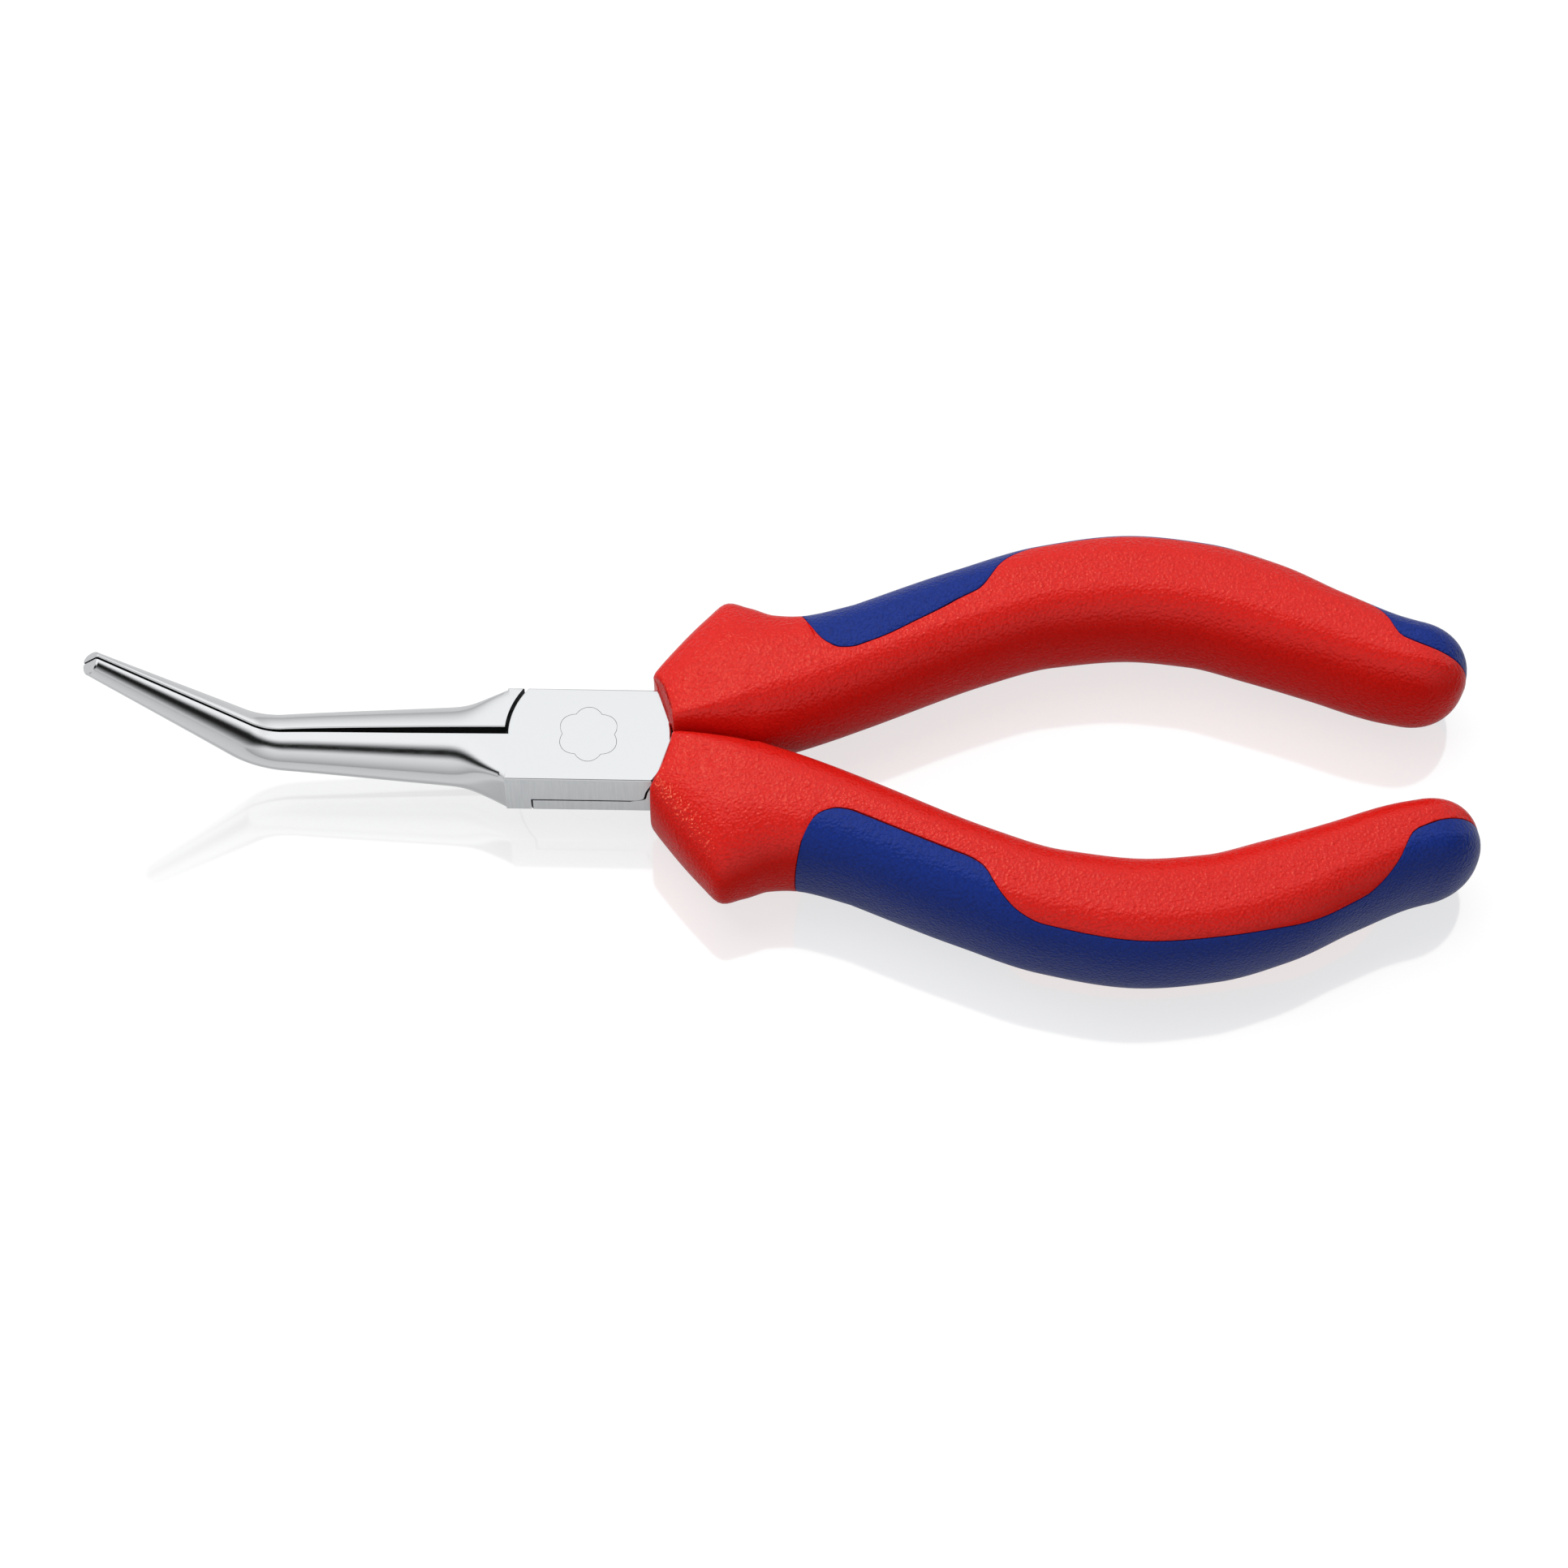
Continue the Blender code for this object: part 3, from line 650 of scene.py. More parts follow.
def head_outline(gap, front_radius):
    """Plan of a head: round ends, the jaw's root at -X, -Y and a shoulder at +X, +Y."""
    half = JOINT_WIDTH / 2
    corner = math.asin(half / front_radius)
    seam = math.asin(gap / front_radius)
    front = arc(front_radius, math.pi - corner, math.pi + seam, FRONT_SIDES)
    shoulder = math.asin(SHOULDER_INSET / BACK_RADIUS)
    behind = arc(BACK_RADIUS, -math.asin(half / BACK_RADIUS), shoulder, BACK_SIDES)
    root = [(-JAW_ROOT, -gap), (-JAW_ROOT, -half)]
    end = [(SHOULDER_END, SHOULDER_INSET), (SHOULDER_END, half)]
    return front + root + behind + end


tang_rows = steps(TANG_START, TANG_END, TANG_STEP)


def tang_point(row, column, side, grow):
    """A corner of the tang's square section; grow makes it larger all round, for the socket."""
    x = tang_rows[row]
    centre, out = handle_frame(x)
    share = min(max((x - SHOULDER_END) / (TANG_FULL - SHOULDER_END), 0.0), 1.0)
    root_width = JOINT_WIDTH / 2 - SHOULDER_INSET
    width = (root_width + (TANG_WIDTH - root_width) * share) / 2 + grow - JOIN_STEP
    height = (JOINT_THICKNESS + (TANG_THICKNESS - JOINT_THICKNESS) * share) / 2 + grow - JOIN_STEP
    centre = Vector((x, (JOINT_WIDTH / 2 + SHOULDER_INSET) / 2, 0)).lerp(centre, share)
    a, b = ((1, 1), (-1, 1), (-1, -1), (1, -1))[column % 4]
    point = centre + out * (width * a) + Vector((0, 0, height * b))
    return Vector((point.x, side * point.y, point.z))


def tang(name, side, grow=0.0):
    """The bar inside a grip, or with grow the cutter for its socket."""
    piece = wrapped_sheet(name, len(tang_rows), 5, lambda i, j: tang_point(i, j, side, grow))
    close_up(piece)
    return piece


print("tang:", len(tang_rows), "rows from X =", TANG_START, "to", TANG_END, "mm")

# %% [markdown]
# ## Rivet
# One rivet holds the levers. Its head has six shallow lobes, so it can't turn in the upper lever,
# and is ground flush with it: all that shows is its fine outline. It is a circle, extruded ring by
# ring, with each ring set to its radius.

# %% Rivet shape
SHANK_RADIUS = 2.5
RIVET_HEAD_RADIUS = 3.0
RIVET_HEAD_DEPTH = 1.6
RIVET_LOBES = 6
LOBE_HEIGHT = 0.55
TAIL_RADIUS = 3.4
TAIL_DEPTH = 1.1
RIVET_FIT = 0.05
RIVET_SIDES = 144
SEAT_STEP = 0.01


def rivet(name, grow, reach):
    """The rivet, or with grow and reach the cutter for its hole."""
    bottom, top = -JOINT_THICKNESS / 2, JOINT_THICKNESS / 2
    seat = top - RIVET_HEAD_DEPTH - grow
    rings = [(bottom - reach, TAIL_RADIUS, 0.0)] if reach else []
    rings += [(bottom - grow / 10, TAIL_RADIUS, 0.0), (bottom + TAIL_DEPTH, SHANK_RADIUS, 0.0)]
    rings += [(seat, SHANK_RADIUS, 0.0), (seat + SEAT_STEP, RIVET_HEAD_RADIUS, LOBE_HEIGHT)]
    rings += [(top + reach, RIVET_HEAD_RADIUS, LOBE_HEIGHT)]

    def ring_point(i, j):
        z, radius, lobe = rings[i]
        angle = 2 * math.pi * (j % RIVET_SIDES) / RIVET_SIDES
        r = radius + grow + lobe * abs(math.sin(RIVET_LOBES * angle / 2))
        return Vector((r * math.cos(angle), r * math.sin(angle), z))

    piece = wrapped_sheet(name, len(rings), RIVET_SIDES + 1, ring_point)
    close_up(piece)
    return piece


# %% [markdown]
# ## Levers: joined and cut
# The lower half of the lap is cut from the upper lever and the upper half from the lower one.

# %% Levers, joined and cut


def cutter_disc(radius, bottom, top):
    """A disc about the pivot, to cut a recess with."""
    start_fresh()
    bpy.ops.mesh.primitive_cylinder_add(
        vertices=ROUND_SIDES, radius=radius * MM, depth=(top - bottom) * MM,
        location=put((0, 0, (bottom + top) / 2)),
    )
    return bpy.context.object


def lap_step(name, gap, low, high, top, back):
    """What lies behind the lap's sloping back wall, between two values of Y and up to a height."""
    heights = steps(WALL_FOOT, top, WALL_STEP)

    def wall_point(i, j):
        radius = curve(LAP_WALL, heights[i]) + gap
        j %= WALL_COLUMNS + 3
        if j > WALL_COLUMNS:
            return Vector((back, (high, low)[j - WALL_COLUMNS - 1], heights[i]))
        y = low + (high - low) * j / WALL_COLUMNS
        return Vector((math.sqrt(radius ** 2 - y ** 2), y, heights[i]))

    piece = wrapped_sheet(name, len(heights), WALL_COLUMNS + 4, wall_point)
    close_up(piece)
    return piece


def lever(name, side, upper):
    """One lever: side is the side of its jaw, -1 or 1, and its handle is on the other."""
    half = JOINT_THICKNESS / 2
    root_gap, tip_gap = (0.0, 0.0) if upper else (JAW_ROOT_GAP, JAW_TIP_GAP)
    tip_width = UPPER_TIP_WIDTH if upper else LOWER_TIP_WIDTH
    front_radius = HEAD_RADIUS if upper else LOWER_FRONT_RADIUS
    outline = head_outline(root_gap + SEAM_OFFSET, front_radius)
    outline = [(x, -side * y) for x, y in outline]
    body = plate(name, outline, -half, half, HEAD_CHAMFER)
    body.data.name = name
    combine(body, jaw(name + "_jaw", side, tip_width, root_gap, tip_gap), "UNION")
    combine(body, tang(name + "_tang", -side), "UNION")
    lap = LAP_HEIGHT - half
    bottom, top = lap - FIT_GAP / 2, CUT_REACH * half
    if upper:
        bottom, top = -CUT_REACH * half, lap + FIT_GAP / 2
        recess = arc(RECESS_RADIUS, -math.pi / 2, math.pi, 3 * ROUND_SIDES // 4)
        recess += arc(FRONT_RECESS_RADIUS, math.pi, 1.5 * math.pi, ROUND_SIDES // 4)
        cutter = plate(name + "_recess", recess, bottom, top, 0.0)
    else:
        cutter = cutter_disc(RECESS_RADIUS, bottom, top)
    combine(body, cutter, "DIFFERENCE")
    if upper:
        low, high = -JOINT_WIDTH / 2 - CUT_MARGIN, SHOULDER_INSET - WALL_GAP
        step = lap_step(name + "_step", 0.0, low, high, CUT_TOP, CUT_BACK)
        combine(body, step, "DIFFERENCE")
    else:
        low, high = -JOINT_WIDTH / 2 + JOIN_STEP, -SHOULDER_INSET - JOIN_STEP
        step = lap_step(name + "_step", WALL_GAP, low, high, FILL_TOP, FILL_BACK)
        combine(body, step, "UNION")
    combine(body, rivet(name + "_hole", RIVET_FIT, JOINT_THICKNESS), "DIFFERENCE")
    smooth(body, STEEL_CREASE)
    modify(body, "WEIGHTED_NORMAL", keep_sharp=True, weight=NORMAL_WEIGHT)
    print(name, len(body.data.polygons), "faces")
    return body


upper_steel = lever("upper_steel_lever", -1, True)
lower_steel = lever("lower_steel_lever", 1, False)
rivet_steel = rivet("flush_rivet", 0.0, 0.0)
smooth(rivet_steel, STEEL_CREASE)
modify(rivet_steel, "WEIGHTED_NORMAL", keep_sharp=True, weight=NORMAL_WEIGHT)
print("flush_rivet", len(rivet_steel.data.polygons), "faces")

# %% [markdown]
# ## Sockets
# The plastic is moulded round the steel, so each sleeve gets a socket the size of the tang.

# %% Sockets
SOCKET_FIT = 0.04


def socket(sleeve, side):
    """Cuts the room for the tang and for the lever's shoulder out of a sleeve."""
    combine(sleeve, tang(sleeve.name + "_socket", side, SOCKET_FIT), "DIFFERENCE")
    half = JOINT_WIDTH / 2 + SOCKET_FIT
    inner = SHOULDER_INSET - SOCKET_FIT
    end = SHOULDER_END + SOCKET_FIT
    outline = [(0.0, inner), (end, inner), (end, half), (0.0, half)]
    height = JOINT_THICKNESS / 2 + SOCKET_FIT
    room = plate(sleeve.name + "_room", [(x, side * y) for x, y in outline], -height, height, 0.0)
    combine(sleeve, room, "DIFFERENCE")
    smooth(sleeve, GRIP_CREASE)
    print(sleeve.name, "with its socket:", len(sleeve.data.polygons), "faces")


socket(upper_sleeve, 1)
socket(lower_sleeve, -1)

# %% [markdown]
# ## Materials
# Colours are written as sRGB hex values and turned to linear light by one function. One small
# function adds a node with its settings and links. Noise is used over the middle of its range.

# %% Material helpers
NOISE_RANGE = {"From Min": 0.3, "From Max": 0.7}


def linear(code):
    """A hex colour as linear light, with full opacity."""
    parts = [int(code[i:i + 2], 16) / 255 for i in (1, 3, 5)]
    return (*[p / 12.92 if p <= 0.04045 else ((p + 0.055) / 1.055) ** 2.4 for p in parts], 1.0)


def add_node(tree, kind, settings=None, links=None):
    """A new node; settings are inputs or properties by name, links are outputs to join by input."""
    node = tree.nodes.new(kind)
    for label, value in (settings or {}).items():
        if isinstance(label, int) or label in node.inputs:
            node.inputs[label].default_value = value
        else:
            setattr(node, label, value)
    for label, source in (links or {}).items():
        tree.links.new(source, node.inputs[label])
    return node


def new_material(name):
    """A material with its node tree and its Principled shader."""
    material = bpy.data.materials.new(name)
    material.use_nodes = True
    tree = material.node_tree
    return material, tree, tree.nodes["Principled BSDF"]


# %% [markdown]
# ### Chrome plated tool steel
# The levers are drop forged, ground and polished, then nickel and chrome plated: a bright mirror with
# a trace of blue, softened by what is left of the polishing lines. The lines are about 0.1 mm apart
# and follow the length of the tool, so noise stretched along X turns the mirror a little.

# %% Chrome
POLISH_SPACING = 0.12 * MM
POLISH_LENGTH = 1.5 * MM
POLISH_ROUGHNESS = {"To Min": 0.09, "To Max": 0.17}
POLISH_DEPTH = 0.02 * MM

chrome, tree, shader = new_material("chrome_plated_steel")
shader.inputs["Base Color"].default_value = linear("#EEF0F2")
shader.inputs["Metallic"].default_value = 1.0
where = add_node(tree, "ShaderNodeTexCoord")
stretch = add_node(tree, "ShaderNodeMapping",
                   {"Scale": (1 / POLISH_LENGTH, 1 / POLISH_SPACING, 1 / POLISH_SPACING)},
                   {"Vector": where.outputs["Object"]})
lines = add_node(tree, "ShaderNodeTexNoise", {"Scale": 1.0, "Detail": 3.0, "Roughness": 0.6},
                 {"Vector": stretch.outputs["Vector"]})
polish = add_node(tree, "ShaderNodeMapRange", {**NOISE_RANGE, **POLISH_ROUGHNESS},
                  {"Value": lines.outputs["Fac"]})
fine = add_node(tree, "ShaderNodeBump", {"Strength": 0.03, "Distance": POLISH_DEPTH},
                {"Height": lines.outputs["Fac"]})
tree.links.new(polish.outputs["Result"], shader.inputs["Roughness"])
tree.links.new(fine.outputs["Normal"], shader.inputs["Normal"])
print("chrome:", len(tree.nodes), "nodes")

# %% [markdown]
# ### Ground steel
# The flat sides of the head are ground on a belt, up and down, and plated without the last polish:
# a satin face with fine upright streaks.

# %% Ground steel
STREAK_SPACING = 0.25 * MM
STREAK_LENGTH = 5.0 * MM
SATIN_ROUGHNESS = {"To Min": 0.32, "To Max": 0.36}

ground, tree, shader = new_material("ground_steel")
shader.inputs["Metallic"].default_value = 1.0
where = add_node(tree, "ShaderNodeTexCoord")
stretch = add_node(tree, "ShaderNodeMapping",
                   {"Scale": (1 / STREAK_SPACING, 1 / STREAK_SPACING, 1 / STREAK_LENGTH)},
                   {"Vector": where.outputs["Object"]})
streaks = add_node(tree, "ShaderNodeTexNoise", {"Scale": 1.0, "Detail": 4.0},
                   {"Vector": stretch.outputs["Vector"]})
greys = add_node(tree, "ShaderNodeValToRGB", None, {"Fac": streaks.outputs["Fac"]})
greys.color_ramp.elements[0].position = NOISE_RANGE["From Min"]
greys.color_ramp.elements[0].color = linear("#E6EAED")
greys.color_ramp.elements[1].position = NOISE_RANGE["From Max"]
greys.color_ramp.elements[1].color = linear("#F0F3F5")
dulled = add_node(tree, "ShaderNodeMapRange", {**NOISE_RANGE, **SATIN_ROUGHNESS},
                  {"Value": streaks.outputs["Fac"]})
tree.links.new(greys.outputs["Color"], shader.inputs["Base Color"])
tree.links.new(dulled.outputs["Result"], shader.inputs["Roughness"])
print("ground steel:", len(tree.nodes), "nodes")

# %% [markdown]
# ### Milled steel with painted shade
# The gripping faces and the round walls of the lap are milled after the forging and don't get the
# polish of the outside, so they are rougher. Their colour is painted dark grey, as painted shade for
# the narrow gaps between the levers. Each cutter pass leaves a slightly different grey.

# %% Milled steel
MILL_SPACING = 0.4 * MM
MILL_ROUGHNESS = 0.45

milled_painted_shade, tree, shader = new_material("milled_steel_painted_shade")
shader.inputs["Metallic"].default_value = 1.0
shader.inputs["Roughness"].default_value = MILL_ROUGHNESS
where = add_node(tree, "ShaderNodeTexCoord")
passes = add_node(tree, "ShaderNodeTexNoise", {"Scale": 1 / MILL_SPACING, "Detail": 2.0},
                  {"Vector": where.outputs["Object"]})
greys = add_node(tree, "ShaderNodeValToRGB", None, {"Fac": passes.outputs["Fac"]})
# The two dark greys are painted shade for the narrow gaps; the noise varies them a little.
greys.color_ramp.elements[0].color = linear("#3A3C40")
greys.color_ramp.elements[1].color = linear("#585B60")
tree.links.new(greys.outputs["Color"], shader.inputs["Base Color"])
print("milled steel:", len(tree.nodes), "nodes")

# %% [markdown]
# ### Moulded grip plastics
# Both plastics are injection moulded in a mould whose walls were spark eroded, which leaves a fine
# pebbled grain. The real grain is about 0.15 mm; it is drawn at about 0.3 mm, so that it shows. The
# grain breaks up the highlights, and where it is rubbed the surface is a little smoother. The sheen
# has one strength where the surface would mirror the table and another where it mirrors the room, and
# it is left out of mirror images, where it would only make stray glints.

# %% Grip plastics
GRAIN_SIZE = 0.30 * MM
GRAIN_DEPTH = 0.1 * MM
DUST_SCALE = 0.6
PATCH_SIZE = 9.0 * MM
SHEEN_RANGE = {"From Min": -0.3, "From Max": 0.3}
TINT_RANGE = {"From Min": 0.0, "From Max": 0.9}


def grip_plastic(name, colour, deep_colour, rough_low, rough_high, table_sheen, room_sheen):
    """A grained plastic; colour is that of the grain's tops and deep_colour that of its hollows."""
    material, tree, shader = new_material(name)
    where = add_node(tree, "ShaderNodeTexCoord")
    grain = add_node(tree, "ShaderNodeTexVoronoi", {"Scale": 1 / GRAIN_SIZE, "feature": "SMOOTH_F1"},
                     {"Vector": where.outputs["Object"]})
    dust = add_node(tree, "ShaderNodeTexNoise", {"Scale": DUST_SCALE / GRAIN_SIZE, "Detail": 2.0},
                    {"Vector": where.outputs["Object"]})
    patches = add_node(tree, "ShaderNodeTexNoise", {"Scale": 1 / PATCH_SIZE, "Detail": 3.0},
                       {"Vector": where.outputs["Object"]})
    rise = add_node(tree, "ShaderNodeMath", {"operation": "ADD"})
    tree.links.new(grain.outputs["Distance"], rise.inputs[0])
    tree.links.new(dust.outputs["Fac"], rise.inputs[1])
    pebbles = add_node(tree, "ShaderNodeBump", {"Strength": 1.0, "Distance": GRAIN_DEPTH},
                       {"Height": rise.outputs["Value"]})
    rough = add_node(tree, "ShaderNodeMapRange",
                     {**NOISE_RANGE, "To Min": rough_low, "To Max": rough_high},
                     {"Value": patches.outputs["Fac"]})
    tint = add_node(tree, "ShaderNodeMapRange", TINT_RANGE, {"Value": grain.outputs["Distance"]})
    mixed = add_node(tree, "ShaderNodeMix", {"data_type": "RGBA"}, {"Factor": tint.outputs["Result"]})
    colours = [port for port in mixed.inputs if port.type == "RGBA"]
    colours[0].default_value = linear(colour)
    colours[1].default_value = linear(deep_colour)
    mirrored = add_node(tree, "ShaderNodeSeparateXYZ", None,
                        {"Vector": where.outputs["Reflection"]})
    sheen = add_node(tree, "ShaderNodeMapRange",
                     {**SHEEN_RANGE, "To Min": table_sheen, "To Max": room_sheen},
                     {"Value": mirrored.outputs["Z"]})
    path = add_node(tree, "ShaderNodeLightPath")
    shown = add_node(tree, "ShaderNodeMath", {"operation": "MULTIPLY"},
                     {0: sheen.outputs["Result"], 1: path.outputs["Is Camera Ray"]})
    tree.links.new(shown.outputs["Value"], shader.inputs["Specular IOR Level"])
    result = next(port for port in mixed.outputs if port.type == "RGBA")
    tree.links.new(result, shader.inputs["Base Color"])
    tree.links.new(rough.outputs["Result"], shader.inputs["Roughness"])
    tree.links.new(pebbles.outputs["Normal"], shader.inputs["Normal"])
    print(name, len(tree.nodes), "nodes")
    return material


red_plastic = grip_plastic("red_moulded_plastic", "#E0221B", "#CC1913", 0.13, 0.20, 0.03, 0.26)
blue_plastic = grip_plastic("blue_soft_plastic", "#14318A", "#10256C", 0.30, 0.38, 0.20, 0.20)

# %% [markdown]
# ### Finishes on the pieces
# Every piece gets its main finish. On the levers, the faces' directions and places then tell which are
# the ground sides of the head, and which are the gripping faces and the round walls of the lap: these
# get the milled steel, whose dark colour is painted shade for the narrow gaps.

# %% Finishes
GROUND_SLOT, MILLED_PAINTED_SHADE_SLOT = 1, 2
SIDEWAYS = 0.99
GRIPPING = 0.85
UPRIGHT = 0.3
RADIAL = 0.6
INNER_WALL = 7.5
OUTER_WALL = RECESS_RADIUS + 0.1

for piece, finish in ((upper_steel, chrome), (lower_steel, chrome), (rivet_steel, chrome),
                      (upper_sleeve, red_plastic), (lower_sleeve, red_plastic),
                      (upper_pad, blue_plastic), (lower_pad, blue_plastic)):
    piece.data.materials.clear()
    piece.data.materials.append(finish)

for piece, facing in ((upper_steel, 1), (lower_steel, -1)):
    piece.data.materials.append(ground)
    piece.data.materials.append(milled_painted_shade)
    for face in piece.data.polygons:
        away = Vector((face.center.x, face.center.y, 0))
        in_wall = INNER_WALL * MM < away.length < OUTER_WALL * MM and abs(face.normal.z) < UPRIGHT
        sideways = abs(face.normal.y) > SIDEWAYS
        if sideways and abs(face.center.x) < JAW_ROOT * MM:
            face.material_index = GROUND_SLOT
        # The gripping faces and the round walls of the lap get painted shade: the dark milled steel.
        if face.center.x < -JAW_ROOT * MM and facing * face.normal.y > GRIPPING:
            face.material_index = MILLED_PAINTED_SHADE_SLOT
        if in_wall and not sideways and abs(face.normal.dot(away.normalized())) > RADIAL:
            face.material_index = MILLED_PAINTED_SHADE_SLOT
    print(piece.name, "milled faces:",
          sum(face.material_index == MILLED_PAINTED_SHADE_SLOT for face in piece.data.polygons))

# %% [markdown]
# ## Floor
# The pliers lie on a glossy white table. For the eye the table is close to white, with a faint mirror
# image, and it keeps the soft shadow. It glows with one strength for the eye, another in mirrors and a
# third as the light that it throws up at the pliers.

# %% Floor
FLOOR_SIZE = 4.0
FLOOR_GLOW = 0.71
MIRRORED_GLOW = 0.34
BOUNCED_GLOW = 0.16
FLOOR_SHADE = 0.18
FLOOR_MIRROR = 0.17
FLOOR_POLISH = 0.08

start_fresh()
bpy.ops.mesh.primitive_plane_add(size=FLOOR_SIZE, location=put((0, 0, FLOOR_HEIGHT - MID_HEIGHT)))
floor = bpy.context.object
floor.name = "table"
table, tree, shader = new_material("glossy_white_table")
tree.nodes.remove(shader)
output = tree.nodes["Material Output"]
path = add_node(tree, "ShaderNodeLightPath")
direct = add_node(tree, "ShaderNodeMath", {"operation": "MULTIPLY", 1: FLOOR_GLOW},
                  {0: path.outputs["Is Camera Ray"]})
glow = add_node(tree, "ShaderNodeMath", {"operation": "MULTIPLY_ADD", 1: MIRRORED_GLOW},
                {0: path.outputs["Is Glossy Ray"], 2: direct.outputs["Value"]})
bounce = add_node(tree, "ShaderNodeMath", {"operation": "MULTIPLY_ADD", 1: BOUNCED_GLOW},
                  {0: path.outputs["Is Diffuse Ray"], 2: glow.outputs["Value"]})
white = add_node(tree, "ShaderNodeEmission", {"Color": (1, 1, 1, 1)},
                 {"Strength": bounce.outputs["Value"]})
matte = add_node(tree, "ShaderNodeBsdfDiffuse", {"Color": (FLOOR_SHADE, FLOOR_SHADE, FLOOR_SHADE, 1)})
mirror = add_node(tree, "ShaderNodeBsdfGlossy",
                  {"Color": (FLOOR_MIRROR, FLOOR_MIRROR, FLOOR_MIRROR, 1), "Roughness": FLOOR_POLISH})
lit = add_node(tree, "ShaderNodeAddShader")
tree.links.new(white.outputs[0], lit.inputs[0])
tree.links.new(matte.outputs[0], lit.inputs[1])
both = add_node(tree, "ShaderNodeAddShader")
tree.links.new(lit.outputs[0], both.inputs[0])
tree.links.new(mirror.outputs[0], both.inputs[1])
tree.links.new(both.outputs[0], output.inputs["Surface"])
floor.data.materials.append(table)
print("table at", FLOOR_HEIGHT, "mm")

# %% [markdown]
# ## Studio
# The studio that the chrome mirrors is drawn in the world: bright overhead, greyer at the horizon, and
# brighter again at the handles' end. A dark ribbon stands where the camera and the unlit end of the
# room are, which gives the jaws their dark line. Its near side widens towards the handles' end, which
# the bent tips mirror. For all but mirrors the room is an even, weak light.

# %% World
ROOM_LIGHT = 0.36
HORIZON = 0.42
FRONT_WALL = 0.85
FULL_OVERHEAD = 0.9
SIDE_RANGE = {"From Min": 0.5, "From Max": 0.85}
FRONT_RANGE = {"From Min": -0.7, "From Max": -0.3}
SPREAD_RANGE = {"From Min": 0.3, "From Max": 0.85}
RIBBON_TILT = math.radians(17.4)
RIBBON_WIDTH = 0.40
RIBBON_CORE = 0.12 * RIBBON_WIDTH
RIBBON_DARK = 0.01
RIBBON_SPREAD = 2.8
RIBBON_WAY = (0.0, math.cos(RIBBON_TILT), math.sin(RIBBON_TILT))

world = bpy.data.worlds.new("studio")
bpy.context.scene.world = world
world.use_nodes = True
tree = world.node_tree
background = tree.nodes["Background"]
where = add_node(tree, "ShaderNodeTexCoord")
way = where.outputs["Generated"]
parts = add_node(tree, "ShaderNodeSeparateXYZ", None, {"Vector": way})
rise = {"interpolation_type": "SMOOTHSTEP"}
side_wall = add_node(tree, "ShaderNodeMapRange",
                     {**rise, **SIDE_RANGE, "To Min": HORIZON, "To Max": 1.0},
                     {"Value": parts.outputs["X"]})
overhead = add_node(tree, "ShaderNodeMapRange", {"From Max": FULL_OVERHEAD, "To Max": 1.0},
                    {"Value": parts.outputs["Z"], "To Min": side_wall.outputs["Result"]})
ribbon_way = add_node(tree, "ShaderNodeVectorMath", {"operation": "DOT_PRODUCT", 1: RIBBON_WAY},
                      {0: way})
spread = add_node(tree, "ShaderNodeMapRange",
                  {**rise, **SPREAD_RANGE, "To Min": -1.0, "To Max": -1 / RIBBON_SPREAD},
                  {"Value": parts.outputs["X"]})
near_side = add_node(tree, "ShaderNodeMath", {"operation": "MULTIPLY"},
                     {0: ribbon_way.outputs["Value"], 1: spread.outputs["Result"]})
off_ribbon = add_node(tree, "ShaderNodeMath", {"operation": "MAXIMUM"},
                      {0: ribbon_way.outputs["Value"], 1: near_side.outputs["Value"]})
open_room = add_node(tree, "ShaderNodeMapRange",
                     {**rise, "From Min": RIBBON_CORE, "From Max": RIBBON_WIDTH, "To Min": RIBBON_DARK},
                     {"Value": off_ribbon.outputs["Value"]})
front_wall = add_node(tree, "ShaderNodeMapRange",
                      {**rise, **FRONT_RANGE, "To Min": FRONT_WALL},
                      {"Value": parts.outputs["Y"]})
behind = add_node(tree, "ShaderNodeMath", {"operation": "MULTIPLY"},
                  {0: overhead.outputs["Result"], 1: open_room.outputs["Result"]})
room = add_node(tree, "ShaderNodeMath", {"operation": "MULTIPLY"},
                {0: behind.outputs["Value"], 1: front_wall.outputs["Result"]})
path = add_node(tree, "ShaderNodeLightPath")
choose = add_node(tree, "ShaderNodeMix", {"data_type": "FLOAT", 2: ROOM_LIGHT},
                  {0: path.outputs["Is Glossy Ray"], 3: room.outputs["Value"]})
background.inputs["Color"].default_value = (1, 1, 1, 1)
tree.links.new(choose.outputs[0], background.inputs["Strength"])
print("studio:", len(tree.nodes), "nodes")

# %% [markdown]
# ## Lamps
# A large softbox overhead gives the soft shadow; a side lamp and a weak fill brighten the fronts. None
# of them shows in mirrors. Two warm lamps are mirrored by the red sleeves alone and give no other
# light: they make the grain glitter on the guards.

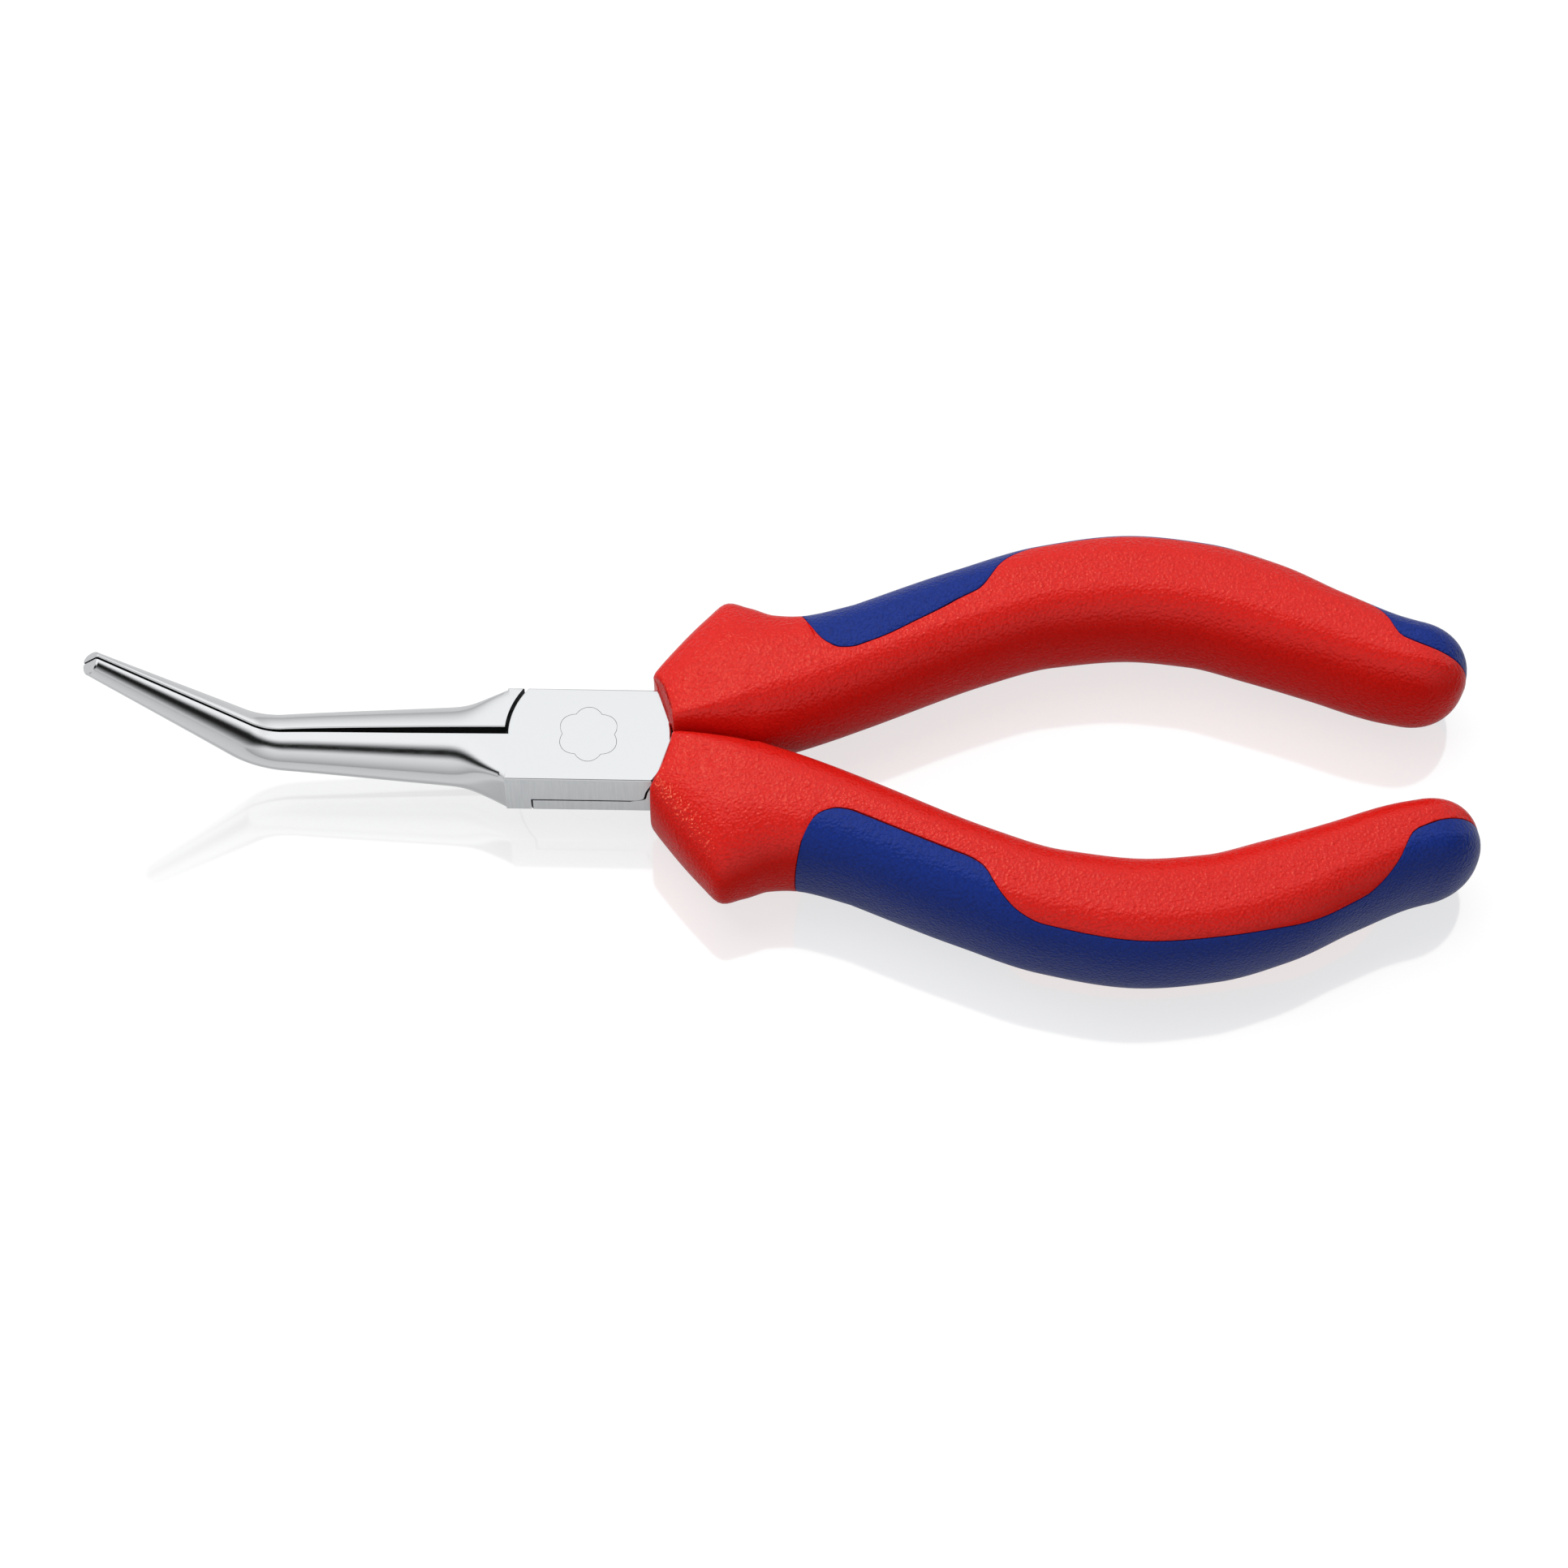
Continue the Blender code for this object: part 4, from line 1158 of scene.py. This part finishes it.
# %% Lamps
LAMP_AIM = (25, 0, 0)
GRAIN_LAMP_SIZE = (150, 150)
WARM = linear("#FFC89A")[:3]


def softbox(name, place_mm, size_mm, power, mirrored=False):
    """A rectangular lamp that faces the pliers."""
    start_fresh()
    bpy.ops.object.light_add(type="AREA", location=put(place_mm))
    lamp = bpy.context.object
    lamp.name = name
    lamp.data.shape = "RECTANGLE"
    lamp.data.size, lamp.data.size_y = size_mm[0] * MM, size_mm[1] * MM
    lamp.data.energy = power
    aim = put(LAMP_AIM) - lamp.location
    lamp.rotation_euler = aim.to_track_quat("-Z", "Y").to_euler()
    lamp.visible_glossy = mirrored
    return lamp


softbox("overhead_softbox", (-120, 260, 560), (700, 500), 3.75)
softbox("side_lamp", (-480, 20, 150), (70, 70), 0.3)
red_sleeves = bpy.data.collections.new("red_sleeves")
red_sleeves.objects.link(upper_sleeve)
red_sleeves.objects.link(lower_sleeve)
for name, place_mm, power in (("low_grain_lamp", (-480, 20, 150), 1.5),
                              ("high_grain_lamp", (-113, 318, 540), 0.55)):
    lamp = softbox(name, place_mm, GRAIN_LAMP_SIZE, power, mirrored=True)
    lamp.data.color = WARM
    lamp.visible_diffuse = False
    lamp.light_linking.receiver_collection = red_sleeves
softbox("front_fill", (200, -500, 350), (500, 400), 0.4)

# %% [markdown]
# ## Hand over
# Each piece stands for its CAD node and rides on that node's body, so the jaws open in every pose.

# %% Bodies, nodes and slots
for piece, body, node, slot in (
    (upper_steel, "upper_half", "upper_lever", "steel"),
    (lower_steel, "lower_half", "lower_lever", "steel"),
    (rivet_steel, "upper_half", "joint_rivet", "steel"),
    (upper_sleeve, "upper_half", "upper_lever_grip", "red_plastic"),
    (lower_sleeve, "lower_half", "lower_lever_grip", "red_plastic"),
    (upper_pad, "upper_half", "upper_lever_grip_inlay", "blue_plastic"),
    (lower_pad, "lower_half", "lower_lever_grip_inlay", "blue_plastic"),
):
    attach(piece, body)
    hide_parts(node)

bpy.context.scene.view_settings.view_transform = "Standard"
